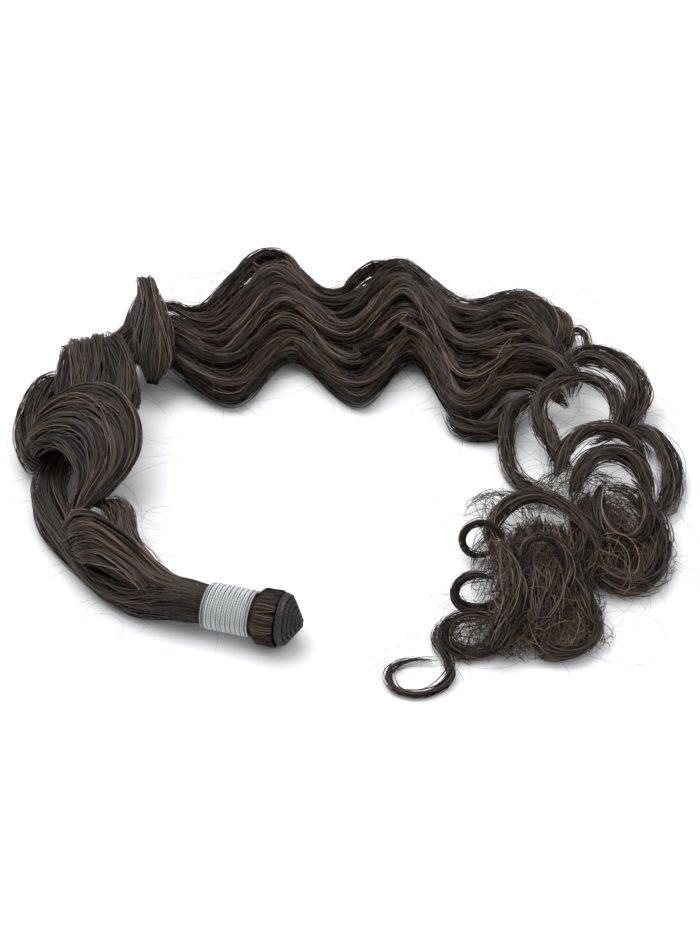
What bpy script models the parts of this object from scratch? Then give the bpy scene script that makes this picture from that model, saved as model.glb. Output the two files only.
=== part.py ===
"""A bundle of dark wavy hair on a rolled weft, laid in a C on a table, in metres with +Z up."""

from math import cos, pi, radians, sin

import bmesh
import bpy
import numpy as np

# Driving dimensions, in metres.
LAY = 0.100  # unit of the across, away and up columns of the lay of the hair
LOCK = 0.010  # unit of the wide and deep columns of the locks
NECK_DIAMETER = 0.0174  # hair squeezed inside the tie
STUB_DIAMETER = 0.0240  # hair between the tie and the weft
STUB_LENGTH = 0.0100
CORD_DIAMETER = 0.0019
CORD_TURNS = 10
ROLL_DIAMETER = 0.0248  # outer turn of the rolled weft
ROLL_EYE = 0.0017  # the middle of the roll, where the innermost turn ends
WEFT_THICKNESS = 0.0015
WEFT_HEIGHT = 0.0030  # of the sewn band, along the roll's axis
TURN_STEP = 0.0013  # how far each inner turn stands out past the one around it
PIECE_GAP = 0.0003  # clear space between two pieces and between two turns

# Fineness of the solids.
CURVE_STEPS = 8  # points worked out from one row of a table to the next
SECTION_SPACING = 0.98  # from one section to the next, as a share of a lock's width
LEAST_SPACING = 0.007
FAN_SPACING = 0.012
WELD = 0.00001  # points of the fused hair this close are one
SHARP_EDGE = radians(40)
ROPE_SIDES = 6
TURNED_SIDES = 24
CORD_SIDES = 6
CORD_STEPS = 12  # for each turn
WEFT_STEPS = 16  # for each turn
CURL_STEPS = 16  # for each turn

# Where the hair leaves the tie, as shares of LAY, and which way the roll points.
TIE_ACROSS = -0.628
TIE_AWAY = -1.222
ROLL_TURN = radians(-17.5)

HAIR_COLOUR = (0.030, 0.021, 0.017, 1.0)
CORD_COLOUR = (0.62, 0.64, 0.65, 1.0)
WEFT_COLOUR = (0.012, 0.011, 0.012, 1.0)

# Flat locks that fan out or fold over. Each row is one section: its near edge (across, away, up),
# its far edge (across, away, up), all shares of LAY, and its depth as a share of LOCK.
ROOT_FAN = (
    (-0.68, -1.25, 0.10, -0.67, -1.17, 0.15, 0.6),
    (-0.80, -1.22, 0.11, -0.80, -1.02, 0.17, 1.0),
    (-0.95, -1.14, 0.13, -0.95, -0.87, 0.19, 1.1),
    (-1.07, -1.07, 0.16, -1.11, -0.73, 0.21, 1.1),
    (-1.16, -1.02, 0.18, -1.24, -0.65, 0.22, 1.0),
    (-1.22, -0.95, 0.10, -1.35, -0.58, 0.12, 0.8),
)
LOWER_FOLD = (
    (-1.50, -0.14, 0.11, -1.50, 0.10, 0.12, 0.9),
    (-1.52, -0.20, 0.21, -1.49, 0.21, 0.23, 1.0),
    (-1.45, -0.24, 0.28, -1.30, 0.29, 0.31, 1.1),
    (-1.37, -0.29, 0.29, -1.12, 0.20, 0.32, 1.1),
    (-1.31, -0.37, 0.26, -1.01, -0.02, 0.28, 1.0),
    (-1.29, -0.46, 0.22, -1.01, -0.26, 0.22, 0.9),
    (-1.30, -0.58, 0.18, -1.12, -0.47, 0.18, 0.8),
    (-1.33, -0.69, 0.155, -1.26, -0.62, 0.15, 0.68),
)
UPPER_FOLD = (
    (-1.42, 0.70, 0.15, -1.18, 0.78, 0.16, 0.8),
    (-1.47, 0.66, 0.27, -1.20, 0.75, 0.29, 1.0),
    (-1.48, 0.54, 0.31, -1.13, 0.61, 0.32, 1.1),
    (-1.48, 0.41, 0.30, -1.07, 0.42, 0.29, 1.1),
    (-1.48, 0.28, 0.26, -1.03, 0.24, 0.25, 1.0),
    (-1.45, 0.12, 0.19, -1.04, 0.08, 0.18, 0.9),
)
TALL_FOLD = (
    (-1.13, 1.31, 0.24, -1.05, 1.32, 0.24, 0.8),
    (-1.15, 1.24, 0.34, -1.06, 1.24, 0.35, 0.9),
    (-1.15, 1.12, 0.35, -1.01, 1.12, 0.35, 1.0),
    (-1.15, 1.00, 0.32, -0.95, 0.97, 0.31, 1.1),
    (-1.15, 0.86, 0.28, -0.91, 0.80, 0.26, 1.1),
    (-1.13, 0.70, 0.22, -0.91, 0.64, 0.19, 1.0),
    (-1.10, 0.56, 0.15, -0.94, 0.54, 0.13, 0.9),
)
# The flat locks: their table and how many ribs make up their breadth.
FANS = (
    (ROOT_FAN, 4),
    (LOWER_FOLD, 4),
    (UPPER_FOLD, 4),
    (TALL_FOLD, 3),
)

# The waved sheet between the tall fold and the curls. Each row is a trough or a crest of the wave:
# its bottom edge and its top edge (across, away), then how far it rises above its usual height,
# all shares of LAY.
SHEET = (
    (-1.08, 0.80, -1.08, 1.22, 0.13),
    (-0.94, 0.70, -0.98, 1.34, 0.06),
    (-0.58, 0.45, -0.81, 1.42, 0.00),
    (-0.30, 0.86, -0.49, 1.97, 0.02),
    (0.05, 0.46, -0.12, 1.55, 0.00),
    (0.34, 0.84, 0.28, 1.85, 0.02),
    (0.57, 0.23, 0.62, 1.45, 0.00),
    (0.88, 0.58, 0.96, 1.47, 0.03),
    (1.08, 0.62, 1.14, 1.00, -0.01),
)
# Its layers: the shares of the way up the sheet where each one begins and ends in every row of SHEET,
# then its height (share of LAY), its depth (share of LOCK) and its ribs.
SHEET_LAYERS = (
    (
        (0.01, 0.01, 0.03, 0.01, 0.01, 0.02, 0.05, 0.06, 0.06),
        (0.36, 0.36, 0.40, 0.32, 0.33, 0.36, 0.42, 0.40, 0.40),
        0.07, 1.4, 3,
    ),
    (
        (0.30, 0.30, 0.34, 0.30, 0.34, 0.34, 0.36, 0.36, 0.30),
        (0.68, 0.68, 0.72, 0.64, 0.70, 0.66, 0.74, 0.72, 0.66),
        0.10, 1.5, 3,
    ),
    (
        (0.62, 0.62, 0.66, 0.60, 0.66, 0.62, 0.68, 0.66, 0.56),
        (0.88, 0.88, 0.88, 0.80, 0.88, 0.84, 0.88, 0.88, 0.88),
        0.07, 1.4, 2,
    ),
    (
        (0.84, 0.84, 0.84, 0.88, 0.86, 0.88, 0.86, 0.86, 0.80),
        (0.99, 0.99, 0.99, 0.99, 0.99, 0.99, 0.99, 0.99, 0.99),
        0.11, 1.2, 1,
    ),
)

# Locks that run free. Each row is one section: across, away, up (shares of LAY), then width and depth
# (shares of LOCK).
ROOT_SWEEP = (
    (-0.68, -1.21, 0.11, 1.3, 1.3),
    (-0.80, -1.17, 0.08, 1.8, 1.6),
    (-0.94, -1.10, 0.07, 2.0, 1.6),
    (-1.08, -0.97, 0.065, 2.0, 1.6),
    (-1.22, -0.80, 0.065, 2.0, 1.6),
    (-1.32, -0.66, 0.07, 2.0, 1.6),
    (-1.39, -0.51, 0.08, 2.0, 1.6),
    (-1.43, -0.35, 0.09, 1.9, 1.5),
    (-1.42, -0.18, 0.11, 1.8, 1.4),
    (-1.37, 0.00, 0.13, 1.6, 1.2),
)
ROOT_BACK = (
    (-0.69, -1.17, 0.13, 1.1, 1.1),
    (-0.82, -1.05, 0.12, 1.4, 1.3),
    (-0.96, -0.91, 0.12, 1.6, 1.5),
    (-1.03, -0.77, 0.13, 1.6, 1.5),
    (-1.06, -0.63, 0.13, 1.5, 1.4),
    (-1.11, -0.52, 0.13, 1.4, 1.2),
    (-1.22, -0.46, 0.12, 1.2, 1.0),
)
UNDER_FOLDS = (
    (-1.43, -0.30, 0.11, 1.6, 1.4),
    (-1.36, 0.00, 0.13, 2.4, 1.8),
    (-1.30, 0.25, 0.15, 2.8, 2.2),
    (-1.27, 0.50, 0.17, 2.8, 2.4),
    (-1.21, 0.74, 0.18, 2.4, 2.2),
    (-1.14, 0.96, 0.20, 1.8, 2.0),
    (-1.11, 1.20, 0.27, 1.4, 1.6),
    (-1.12, 1.32, 0.31, 1.2, 1.2),
)
LEFT_LOOP = (
    (-1.44, 0.52, 0.22, 1.4, 1.2),
    (-1.53, 0.43, 0.19, 1.7, 1.6),
    (-1.59, 0.27, 0.14, 1.8, 1.8),
    (-1.59, 0.09, 0.11, 1.8, 1.7),
    (-1.53, -0.07, 0.09, 1.7, 1.5),
    (-1.44, -0.18, 0.10, 1.5, 1.3),
)
CREST_OUTER = (
    (0.84, 1.40, 0.14, 1.2, 1.1),
    (0.96, 1.42, 0.15, 1.3, 1.1),
    (1.07, 1.31, 0.14, 1.2, 1.1),
    (1.12, 1.15, 0.13, 1.1, 1.0),
    (1.12, 1.00, 0.12, 1.1, 1.0),
    (1.08, 0.84, 0.11, 1.0, 0.9),
)
CREST_INNER = (
    (0.58, 1.16, 0.12, 1.3, 1.1),
    (0.74, 1.26, 0.14, 1.4, 1.2),
    (0.90, 1.28, 0.15, 1.4, 1.2),
    (1.01, 1.14, 0.15, 1.3, 1.1),
    (1.06, 0.95, 0.14, 1.3, 1.1),
    (1.10, 0.75, 0.13, 1.2, 1.0),
    (1.16, 0.60, 0.12, 1.0, 0.9),
)
RIGHT_DROP = (
    (1.02, 1.36, 0.10, 0.8, 0.7),
    (1.12, 1.34, 0.11, 0.9, 0.7),
    (1.18, 1.22, 0.11, 0.9, 0.8),
    (1.19, 1.06, 0.11, 0.9, 0.8),
    (1.16, 0.90, 0.11, 0.8, 0.7),
)
RIGHT_TUFT = (
    (1.16, 1.02, 0.09, 0.6, 0.6),
    (1.21, 1.13, 0.11, 0.7, 0.6),
    (1.26, 1.10, 0.12, 0.7, 0.6),
    (1.27, 0.98, 0.12, 0.7, 0.6),
    (1.25, 0.86, 0.12, 0.7, 0.6),
)
RIGHT_SHOULDER = (
    (1.10, 0.70, 0.13, 1.2, 1.1),
    (1.22, 0.79, 0.15, 1.5, 1.3),
    (1.34, 0.76, 0.16, 1.6, 1.3),
    (1.43, 0.64, 0.16, 1.6, 1.3),
    (1.47, 0.50, 0.14, 1.6, 1.3),
    (1.45, 0.36, 0.12, 1.6, 1.3),
    (1.39, 0.22, 0.11, 1.5, 1.2),
    (1.35, 0.08, 0.10, 1.2, 1.0),
)
MIDDLE_SWELL = (
    (0.50, 1.00, 0.11, 1.3, 1.1),
    (0.65, 0.86, 0.13, 1.4, 1.2),
    (0.80, 0.80, 0.15, 1.5, 1.2),
    (0.95, 0.79, 0.17, 1.5, 1.2),
    (1.08, 0.71, 0.17, 1.5, 1.2),
    (1.14, 0.57, 0.15, 1.4, 1.1),
    (1.13, 0.42, 0.13, 1.1, 0.9),
)
LOBE_SWELL = (
    (0.55, 0.34, 0.09, 1.2, 1.0),
    (0.65, 0.46, 0.12, 1.3, 1.1),
    (0.78, 0.54, 0.14, 1.4, 1.1),
    (0.92, 0.54, 0.15, 1.4, 1.1),
    (1.04, 0.46, 0.14, 1.2, 1.0),
    (1.11, 0.34, 0.12, 1.0, 0.8),
)
LOBE_TAIL = (
    (0.50, 0.40, 0.06, 1.2, 1.1),
    (0.60, 0.26, 0.05, 1.4, 1.2),
    (0.73, 0.26, 0.05, 1.4, 1.2),
    (0.84, 0.38, 0.09, 1.3, 1.1),
    (0.96, 0.47, 0.13, 1.1, 1.0),
)
LEFT_HOOK = (
    (0.92, 0.42, 0.14, 0.9, 0.8),
    (0.83, 0.32, 0.12, 1.0, 0.9),
    (0.78, 0.14, 0.08, 1.0, 1.0),
    (0.78, -0.04, 0.045, 1.0, 1.0),
    (0.82, -0.20, 0.045, 1.0, 1.0),
    (0.91, -0.32, 0.07, 1.0, 1.0),
    (1.03, -0.40, 0.11, 1.0, 0.9),
)
INNER_HOOK = (
    (0.96, 0.22, 0.15, 0.8, 0.8),
    (0.99, 0.06, 0.14, 0.9, 0.9),
    (1.01, -0.08, 0.13, 1.0, 0.9),
    (1.07, -0.20, 0.13, 1.0, 0.9),
)
RIGHT_HOOK = (
    (1.35, 0.15, 0.11, 1.1, 1.0),
    (1.45, 0.16, 0.11, 1.2, 1.1),
    (1.53, 0.08, 0.09, 1.2, 1.1),
    (1.57, -0.06, 0.07, 1.2, 1.1),
    (1.56, -0.21, 0.05, 1.2, 1.1),
    (1.51, -0.36, 0.05, 1.2, 1.1),
    (1.44, -0.49, 0.07, 1.1, 1.0),
)
CROWN_UPPER = (
    (0.98, -0.28, 0.12, 1.0, 0.9),
    (1.04, -0.12, 0.17, 1.0, 0.9),
    (1.14, -0.02, 0.21, 1.1, 0.9),
    (1.27, 0.00, 0.22, 1.1, 0.9),
    (1.38, -0.07, 0.20, 1.1, 0.9),
    (1.44, -0.20, 0.14, 1.0, 0.9),
)
CROWN_LOWER = (
    (1.04, -0.50, 0.12, 1.0, 0.9),
    (1.08, -0.34, 0.19, 1.1, 0.9),
    (1.17, -0.25, 0.24, 1.2, 0.9),
    (1.29, -0.25, 0.25, 1.2, 0.9),
    (1.38, -0.34, 0.22, 1.1, 0.9),
    (1.43, -0.50, 0.14, 1.0, 0.9),
)
FRONT_ARCH = (
    (0.66, -0.86, 0.09, 0.9, 0.8),
    (0.65, -0.69, 0.13, 0.9, 0.8),
    (0.73, -0.55, 0.16, 1.0, 0.8),
    (0.87, -0.51, 0.18, 1.0, 0.8),
    (1.00, -0.58, 0.17, 1.0, 0.8),
    (1.10, -0.72, 0.14, 1.0, 0.8),
    (1.15, -0.88, 0.11, 1.0, 0.8),
)
RINGLET_BED = (
    (1.08, -0.40, 0.09, 1.4, 1.0),
    (1.20, -0.55, 0.07, 2.2, 1.0),
    (1.26, -0.72, 0.06, 2.2, 1.0),
    (1.24, -0.90, 0.06, 1.6, 1.0),
)
FALL_LEFT = (
    (0.66, -0.76, 0.12, 1.2, 1.0),
    (0.71, -0.91, 0.13, 1.3, 1.1),
    (0.74, -1.07, 0.13, 1.4, 1.1),
    (0.72, -1.23, 0.12, 1.4, 1.1),
    (0.66, -1.38, 0.10, 1.3, 1.0),
    (0.60, -1.50, 0.08, 1.0, 0.9),
)
FALL_NEAR_LEFT = (
    (0.78, -0.60, 0.10, 0.9, 0.8),
    (0.80, -0.80, 0.09, 1.2, 1.0),
    (0.81, -1.00, 0.09, 1.2, 1.0),
    (0.79, -1.18, 0.09, 1.2, 1.0),
    (0.74, -1.36, 0.08, 1.0, 0.9),
)
FALL_NEAR_RIGHT = (
    (0.98, -0.60, 0.10, 0.9, 0.8),
    (0.97, -0.80, 0.09, 1.2, 1.0),
    (0.95, -1.00, 0.09, 1.2, 1.0),
    (0.95, -1.17, 0.08, 1.1, 1.0),
    (0.93, -1.32, 0.07, 0.9, 0.9),
)
FALL_MIDDLE = (
    (0.88, -0.56, 0.11, 1.5, 1.2),
    (0.87, -0.75, 0.12, 1.8, 1.4),
    (0.90, -0.95, 0.13, 1.8, 1.4),
    (0.88, -1.13, 0.13, 1.8, 1.4),
    (0.84, -1.29, 0.11, 1.6, 1.2),
    (0.80, -1.42, 0.08, 1.2, 0.9),
)
FALL_RIGHT = (
    (1.08, -0.66, 0.11, 1.3, 1.1),
    (1.05, -0.86, 0.12, 1.4, 1.2),
    (1.00, -1.03, 0.12, 1.4, 1.2),
    (1.01, -1.19, 0.11, 1.3, 1.1),
    (1.05, -1.32, 0.09, 1.1, 0.9),
)
FRONT_HOOK = (
    (1.00, -1.06, 0.09, 1.0, 0.9),
    (1.06, -1.16, 0.06, 1.0, 0.9),
    (1.06, -1.30, 0.04, 0.9, 0.9),
    (0.98, -1.42, 0.035, 0.9, 0.8),
    (0.86, -1.44, 0.035, 0.8, 0.8),
    (0.77, -1.35, 0.05, 0.7, 0.7),
)
TIP_WISP = (
    (0.42, -1.22, 0.06, 0.6, 0.6),
    (0.38, -1.33, 0.03, 0.5, 0.5),
    (0.41, -1.45, 0.02, 0.5, 0.5),
    (0.43, -1.56, 0.02, 0.5, 0.5),
    (0.39, -1.64, 0.02, 0.45, 0.5),
    (0.29, -1.69, 0.02, 0.4, 0.5),
    (0.19, -1.66, 0.02, 0.4, 0.5),
    (0.16, -1.57, 0.02, 0.35, 0.45),
    (0.20, -1.50, 0.02, 0.35, 0.45),
    (0.29, -1.47, 0.02, 0.35, 0.4),
    (0.38, -1.49, 0.03, 0.35, 0.4),
)
ROPES = (
    ROOT_SWEEP,
    ROOT_BACK,
    UNDER_FOLDS,
    LEFT_LOOP,
    CREST_OUTER,
    CREST_INNER,
    RIGHT_DROP,
    RIGHT_TUFT,
    RIGHT_SHOULDER,
    MIDDLE_SWELL,
    LOBE_SWELL,
    LOBE_TAIL,
    LEFT_HOOK,
    INNER_HOOK,
    RIGHT_HOOK,
    CROWN_UPPER,
    CROWN_LOWER,
    FRONT_ARCH,
    RINGLET_BED,
    FALL_LEFT,
    FALL_NEAR_LEFT,
    FALL_MIDDLE,
    FALL_NEAR_RIGHT,
    FALL_RIGHT,
    FRONT_HOOK,
    TIP_WISP,
)

# Curls that wind round on themselves. Each row: middle (across, away, up), radius across and radius
# up the slope, all shares of LAY; slope, start and sweep in degrees; drift away and drift up from end
# to end (shares of LAY); width and depth (shares of LOCK).
CURLS = (
    (1.14, 0.22, 0.17, 0.20, 0.23, 20, 250, -330, 0.04, 0.04, 1.0, 0.8),
    (1.25, -0.66, 0.08, 0.18, 0.34, 6, 100, -330, 0.02, 0.02, 1.3, 1.2),
    (1.26, -0.58, 0.17, 0.11, 0.20, 15, 60, -300, 0.03, -0.03, 0.9, 0.8),
    (0.87, -1.04, 0.20, 0.10, 0.11, 30, 200, -320, -0.10, -0.04, 0.6, 0.6),
    (0.61, -0.74, 0.11, 0.095, 0.095, 55, 330, -330, -0.12, 0.00, 0.45, 0.45),
    (0.58, -1.10, 0.11, 0.12, 0.10, 50, 30, -330, -0.16, 0.00, 0.6, 0.6),
    (0.54, -1.38, 0.10, 0.13, 0.10, 45, 30, -330, -0.10, -0.01, 0.8, 0.7),
)
# The turned core. Past the tie's open end: place (share of NECK_DIAMETER) and radius (share of the
# neck's). Behind the tie: place (share of STUB_LENGTH) and share of the way from the neck's radius to
# the stub's. The radius of the tip inside the roll is a share of the stub's.
CORE_TAIL = (
    (0.80, 0.85),
    (0.40, 1.10),
)
CORE_SHOULDER = (
    (0.06, 0.50),
    (0.20, 0.85),
    (0.45, 1.00),
)
CORE_TIP = 0.14

# The section of a flat lock, as shares of its half width and half depth.
OUTER_RIB = 0.55  # height of a rib right at the edge; the middle one's is 1
RIB_VALLEY = 0.62  # height of a valley between two ribs, as a share of theirs
FLAT_UNDERSIDE = (
    (0.6, -0.75),
    (0.0, -0.9),
    (-0.6, -0.75),
)
BAND_SECTION = (
    (-1, -1),
    (1, -1),
    (1, 1),
    (-1, 1),
)


def clear_scene():
    for thing in list(bpy.data.objects):
        bpy.data.objects.remove(thing, do_unlink=True)


def make_material(name, colour, roughness, metallic):
    material = bpy.data.materials.new(name)
    material.use_nodes = True
    shader = material.node_tree.nodes["Principled BSDF"]
    shader.inputs["Base Color"].default_value = colour
    shader.inputs["Roughness"].default_value = roughness
    shader.inputs["Metallic"].default_value = metallic
    return material


def make_object(name, mesh, material=None):
    thing = bpy.data.objects.new(name, mesh)
    bpy.context.scene.collection.objects.link(thing)
    if material:
        mesh.materials.append(material)
        mesh.shade_smooth()
        mesh.set_sharp_from_angle(angle=SHARP_EDGE)
    return thing


def unit(vectors):
    lengths = np.linalg.norm(vectors, axis=-1, keepdims=True)
    return vectors / lengths


def smooth_rows(rows):
    """Rows of a smooth curve through the given rows, with CURVE_STEPS from each one to the next."""
    rows = np.asarray(rows, float)
    padded = np.vstack([2 * rows[0] - rows[1], rows, 2 * rows[-1] - rows[-2]])
    found = []
    for before, here, after, later in zip(padded, padded[1:], padded[2:], padded[3:]):
        for t in np.arange(CURVE_STEPS) / CURVE_STEPS:
            bend = 2 * before - 5 * here + 4 * after - later
            twist = 3 * here - before - 3 * after + later
            found.append(here + 0.5 * t * (after - before + t * (bend + t * twist)))
    return np.vstack([found, rows[-1]])


def even_rows(rows, centres, spacing):
    """The smooth rows at even lengths along their centres, about the spacing apart."""
    steps = np.linalg.norm(np.diff(centres, axis=0), axis=1)
    length = np.concatenate([[0], np.cumsum(steps)])
    places = np.linspace(0, length[-1], round(length[-1] / spacing) + 1)
    return np.column_stack([np.interp(places, length, column) for column in rows.T])


def oval_section(sides):
    """An oval section, as (across from -1 to 1, up from -1 to 1)."""
    angles = 2 * pi * np.arange(sides) / sides
    return np.column_stack([np.cos(angles), np.sin(angles)])


def tube_mesh(name, centres, side, top, section):
    """A closed tube of sections: side and top are each section's half width and half depth."""
    sides = len(section)
    rings = (
        centres[:, None]
        + section[None, :, :1] * side[:, None]
        + section[None, :, 1:] * top[:, None]
    )
    shape = bmesh.new()
    loops = [[shape.verts.new(point) for point in ring] for ring in rings]
    for one, two in zip(loops, loops[1:]):
        for k in range(sides):
            after = (k + 1) % sides
            shape.faces.new((one[k], one[after], two[after], two[k]))
    shape.faces.new(loops[0][::-1])
    shape.faces.new(loops[-1])
    bmesh.ops.recalc_face_normals(shape, faces=shape.faces)
    mesh = bpy.data.meshes.new(name)
    shape.to_mesh(mesh)
    shape.free()
    return mesh


def rope_tube(name, rows):
    """A lock through rows of across, away, up, width and depth, with its breadth level."""
    rows = smooth_rows(rows)
    spacing = max(LEAST_SPACING, SECTION_SPACING * LOCK * rows[:, 3].mean())
    rows = even_rows(rows, rows[:, :3] * LAY, spacing)
    centres = rows[:, :3] * LAY
    along = unit(np.gradient(centres, axis=0))
    side = unit(np.cross(along, (0, 0, 1)))
    top = np.cross(side, along)
    return tube_mesh(
        name,
        centres,
        side * rows[:, 3:4] * LOCK / 2,
        top * rows[:, 4:5] * LOCK / 2,
        oval_section(ROPE_SIDES),
    )


def ribbed_section(ribs):
    """A flat section as (across from -1 to 1, up from -1 to 1): ribs on top and a plain underside."""
    points = []
    for k in range(2 * ribs + 1):
        across = k / ribs - 1
        height = OUTER_RIB + (1 - OUTER_RIB) * (1 - across * across)
        if k % 2 == 0:
            height *= RIB_VALLEY
        points.append((across, height))
    points[0] = (-1, 0)
    points[-1] = (1, 0)
    return np.array([*points, *FLAT_UNDERSIDE])


def fan_tube(name, rows, ribs):
    """A flat lock between its near edge and its far edge, ribbed along its length."""
    rows = smooth_rows(rows)
    rows = even_rows(rows, (rows[:, :3] + rows[:, 3:6]) / 2 * LAY, FAN_SPACING)
    near = rows[:, :3] * LAY
    far = rows[:, 3:6] * LAY
    centres = (near + far) / 2
    along = unit(np.gradient(centres, axis=0))
    normal = unit(np.cross(far - near, along))
    normal *= np.sign(normal[:, 2:3].sum())
    top = normal * rows[:, 6:7] * LOCK / 2
    return tube_mesh(name, centres, (far - near) / 2, top, ribbed_section(ribs))


def sheet_tubes():
    """The layers of the waved sheet, each between its own shares of the way up it."""
    meshes = []
    edges = np.asarray(SHEET, float)
    for number, (near_shares, far_shares, up, deep, ribs) in enumerate(SHEET_LAYERS):
        height = edges[:, 4:5] + up
        sides = []
        for shares in (near_shares, far_shares):
            shares = np.asarray(shares)[:, None]
            sides += [edges[:, :2] * (1 - shares) + edges[:, 2:4] * shares, height]
        rows = np.column_stack([*sides, np.full(len(height), deep)])
        meshes.append(fan_tube(f"sheet_{number}", rows, ribs))
    return meshes


def curl_tube(name, row):
    """A lock wound round a tilted ring, drifting from one end to the other."""
    across, away, up, wide_radius, tall_radius, slope, start, sweep, drift, lift, wide, deep = row
    steps = round(CURL_STEPS * abs(sweep) / 360)
    share = np.linspace(0, 1, steps + 1)
    angle = np.radians(start + sweep * share)
    rise = tall_radius * np.sin(angle)
    centres = LAY * np.column_stack(
        [
            across + wide_radius * np.cos(angle),
            away + rise * cos(radians(slope)) + drift * (share - 0.5),
            up + rise * sin(radians(slope)) + lift * (share - 0.5),
        ]
    )
    along = unit(np.gradient(centres, axis=0))
    axis = np.array([0, -sin(radians(slope)), cos(radians(slope))])
    side = unit(np.cross(along, axis))
    top = np.cross(side, along) * deep * LOCK / 2
    return tube_mesh(name, centres, side * wide * LOCK / 2, top, oval_section(ROPE_SIDES))


def roll_frame():
    """The middle of the tie and the directions along the roll, across it and up."""
    along = np.array([cos(ROLL_TURN), sin(ROLL_TURN), 0])
    across = np.array([-sin(ROLL_TURN), cos(ROLL_TURN), 0])
    open_end = np.array([TIE_ACROSS * LAY, TIE_AWAY * LAY, ROLL_DIAMETER / 2])
    return open_end + along * tie_length() / 2, along, across, np.array([0, 0, 1.0])


def cord_pitch():
    return CORD_DIAMETER + PIECE_GAP


def tie_length():
    return CORD_TURNS * cord_pitch() + CORD_DIAMETER


def weft_pitch():
    return WEFT_THICKNESS + PIECE_GAP


def outer_turn():
    """The radius of the outermost turn of the weft, at the middle of its thickness."""
    return (ROLL_DIAMETER - WEFT_THICKNESS) / 2


def weft_turns():
    return (outer_turn() - ROLL_EYE / 2) / weft_pitch()


def weft_start():
    """Where the middle of the outermost turn lies along the roll, from the middle of the tie."""
    return tie_length() / 2 + STUB_LENGTH + WEFT_HEIGHT / 2


def place_behind_weft(radius):
    """How far along the roll the stub reaches at this radius, clear of the turns in front of it."""
    slope = TURN_STEP / weft_pitch()
    clear = WEFT_HEIGHT / 2 + slope * WEFT_THICKNESS / 2 + 2 * PIECE_GAP
    return weft_start() + slope * (outer_turn() - radius) - clear


def core_mesh():
    """The neck inside the tie and the stub behind the weft, turned round the roll's axis."""
    middle, along, across, up = roll_frame()
    neck = NECK_DIAMETER / 2
    stub = STUB_DIAMETER / 2
    shoulder = tie_length() / 2 + PIECE_GAP
    profile = [(-shoulder - past * NECK_DIAMETER, radius * neck) for past, radius in CORE_TAIL]
    profile += [(-shoulder, neck), (shoulder, neck)]
    profile += [(shoulder + past * STUB_LENGTH, neck + way * (stub - neck)) for past, way in CORE_SHOULDER]
    profile += [(place_behind_weft(radius), radius) for radius in (stub, CORE_TIP * stub)]
    rows = np.array(profile)
    centres = middle + rows[:, :1] * along
    return tube_mesh("core", centres, rows[:, 1:] * across, rows[:, 1:] * up, oval_section(TURNED_SIDES))


def outer_skin(mesh):
    """Keeps the largest closed shell of the mesh, as triangles, and drops those that it encloses."""
    shape = bmesh.new()
    shape.from_mesh(mesh)
    bmesh.ops.remove_doubles(shape, verts=shape.verts, dist=WELD)
    bmesh.ops.triangulate(shape, faces=shape.faces)
    left = set(shape.faces)
    shells = []
    while left:
        shell = [left.pop()]
        for face in shell:
            near = {other for edge in face.edges for other in edge.link_faces}
            shell += near & left
            left -= near
        shells.append(shell)
    shells.sort(key=lambda shell: sum(face.calc_area() for face in shell))
    inner = [face for shell in shells[:-1] for face in shell]
    bmesh.ops.delete(shape, geom=inner, context="FACES")
    shape.to_mesh(mesh)
    shape.free()


def table_box():
    """A slab whose top is the table, wide enough to flatten whatever of the hair reaches below it."""
    mesh = bpy.data.meshes.new("table")
    shape = bmesh.new()
    bmesh.ops.create_cube(shape, size=1)
    bmesh.ops.scale(shape, vec=(6 * LAY, 6 * LAY, LAY), verts=shape.verts)
    bmesh.ops.translate(shape, vec=(0, 0, -LAY / 2), verts=shape.verts)
    shape.to_mesh(mesh)
    shape.free()
    table = make_object("table", mesh)
    hide_helper(table)
    return table


def hide_helper(helper):
    helper.hide_render = True
    helper.display_type = "WIRE"


def evaluated_mesh(thing):
    graph = bpy.context.evaluated_depsgraph_get()
    return bpy.data.meshes.new_from_object(thing.evaluated_get(graph))


def make_hair(material):
    """All locks, the neck and the stub fused into one body that stands on the table."""
    meshes = sheet_tubes()
    for number, (rows, ribs) in enumerate(FANS):
        meshes.append(fan_tube(f"fan_{number}", rows, ribs))
    for number, rows in enumerate(ROPES):
        meshes.append(rope_tube(f"rope_{number}", rows))
    for number, row in enumerate(CURLS):
        meshes.append(curl_tube(f"curl_{number}", row))
    locks = bpy.data.collections.new("locks")
    bpy.context.scene.collection.children.link(locks)
    for mesh in meshes:
        lock = bpy.data.objects.new(mesh.name, mesh)
        locks.objects.link(lock)
        hide_helper(lock)
    blank = make_object("blank", core_mesh())
    fuse = blank.modifiers.new("fuse", "BOOLEAN")
    fuse.operation = "UNION"
    fuse.operand_type = "COLLECTION"
    fuse.collection = locks
    table = table_box()
    flatten = blank.modifiers.new("flatten", "BOOLEAN")
    flatten.operation = "DIFFERENCE"
    flatten.object = table
    mesh = evaluated_mesh(blank)
    outer_skin(mesh)
    for helper in (*locks.objects, blank, table):
        bpy.data.objects.remove(helper, do_unlink=True)
    mesh.name = "hair"
    return make_object("hair", mesh, material)


def make_tie_cord(material):
    """One cord wound round the neck, turn beside turn, with both ends under the roll."""
    middle, along, across, up = roll_frame()
    angle = np.linspace(0, 2 * pi * CORD_TURNS, CORD_TURNS * CORD_STEPS + 1)[:, None]
    place = cord_pitch() * (angle / (2 * pi) - CORD_TURNS / 2)
    outward = np.sin(angle) * -across - np.cos(angle) * up
    radius = (NECK_DIAMETER / 2 + PIECE_GAP + CORD_DIAMETER / 2) / cos(pi / CORD_STEPS)
    centres = middle + place * along + radius * outward
    top = unit(np.cross(np.gradient(centres, axis=0), outward))
    half = CORD_DIAMETER / 2
    mesh = tube_mesh("tie_cord", centres, outward * half, top * half, oval_section(CORD_SIDES))
    return make_object("tie_cord", mesh, material)


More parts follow.
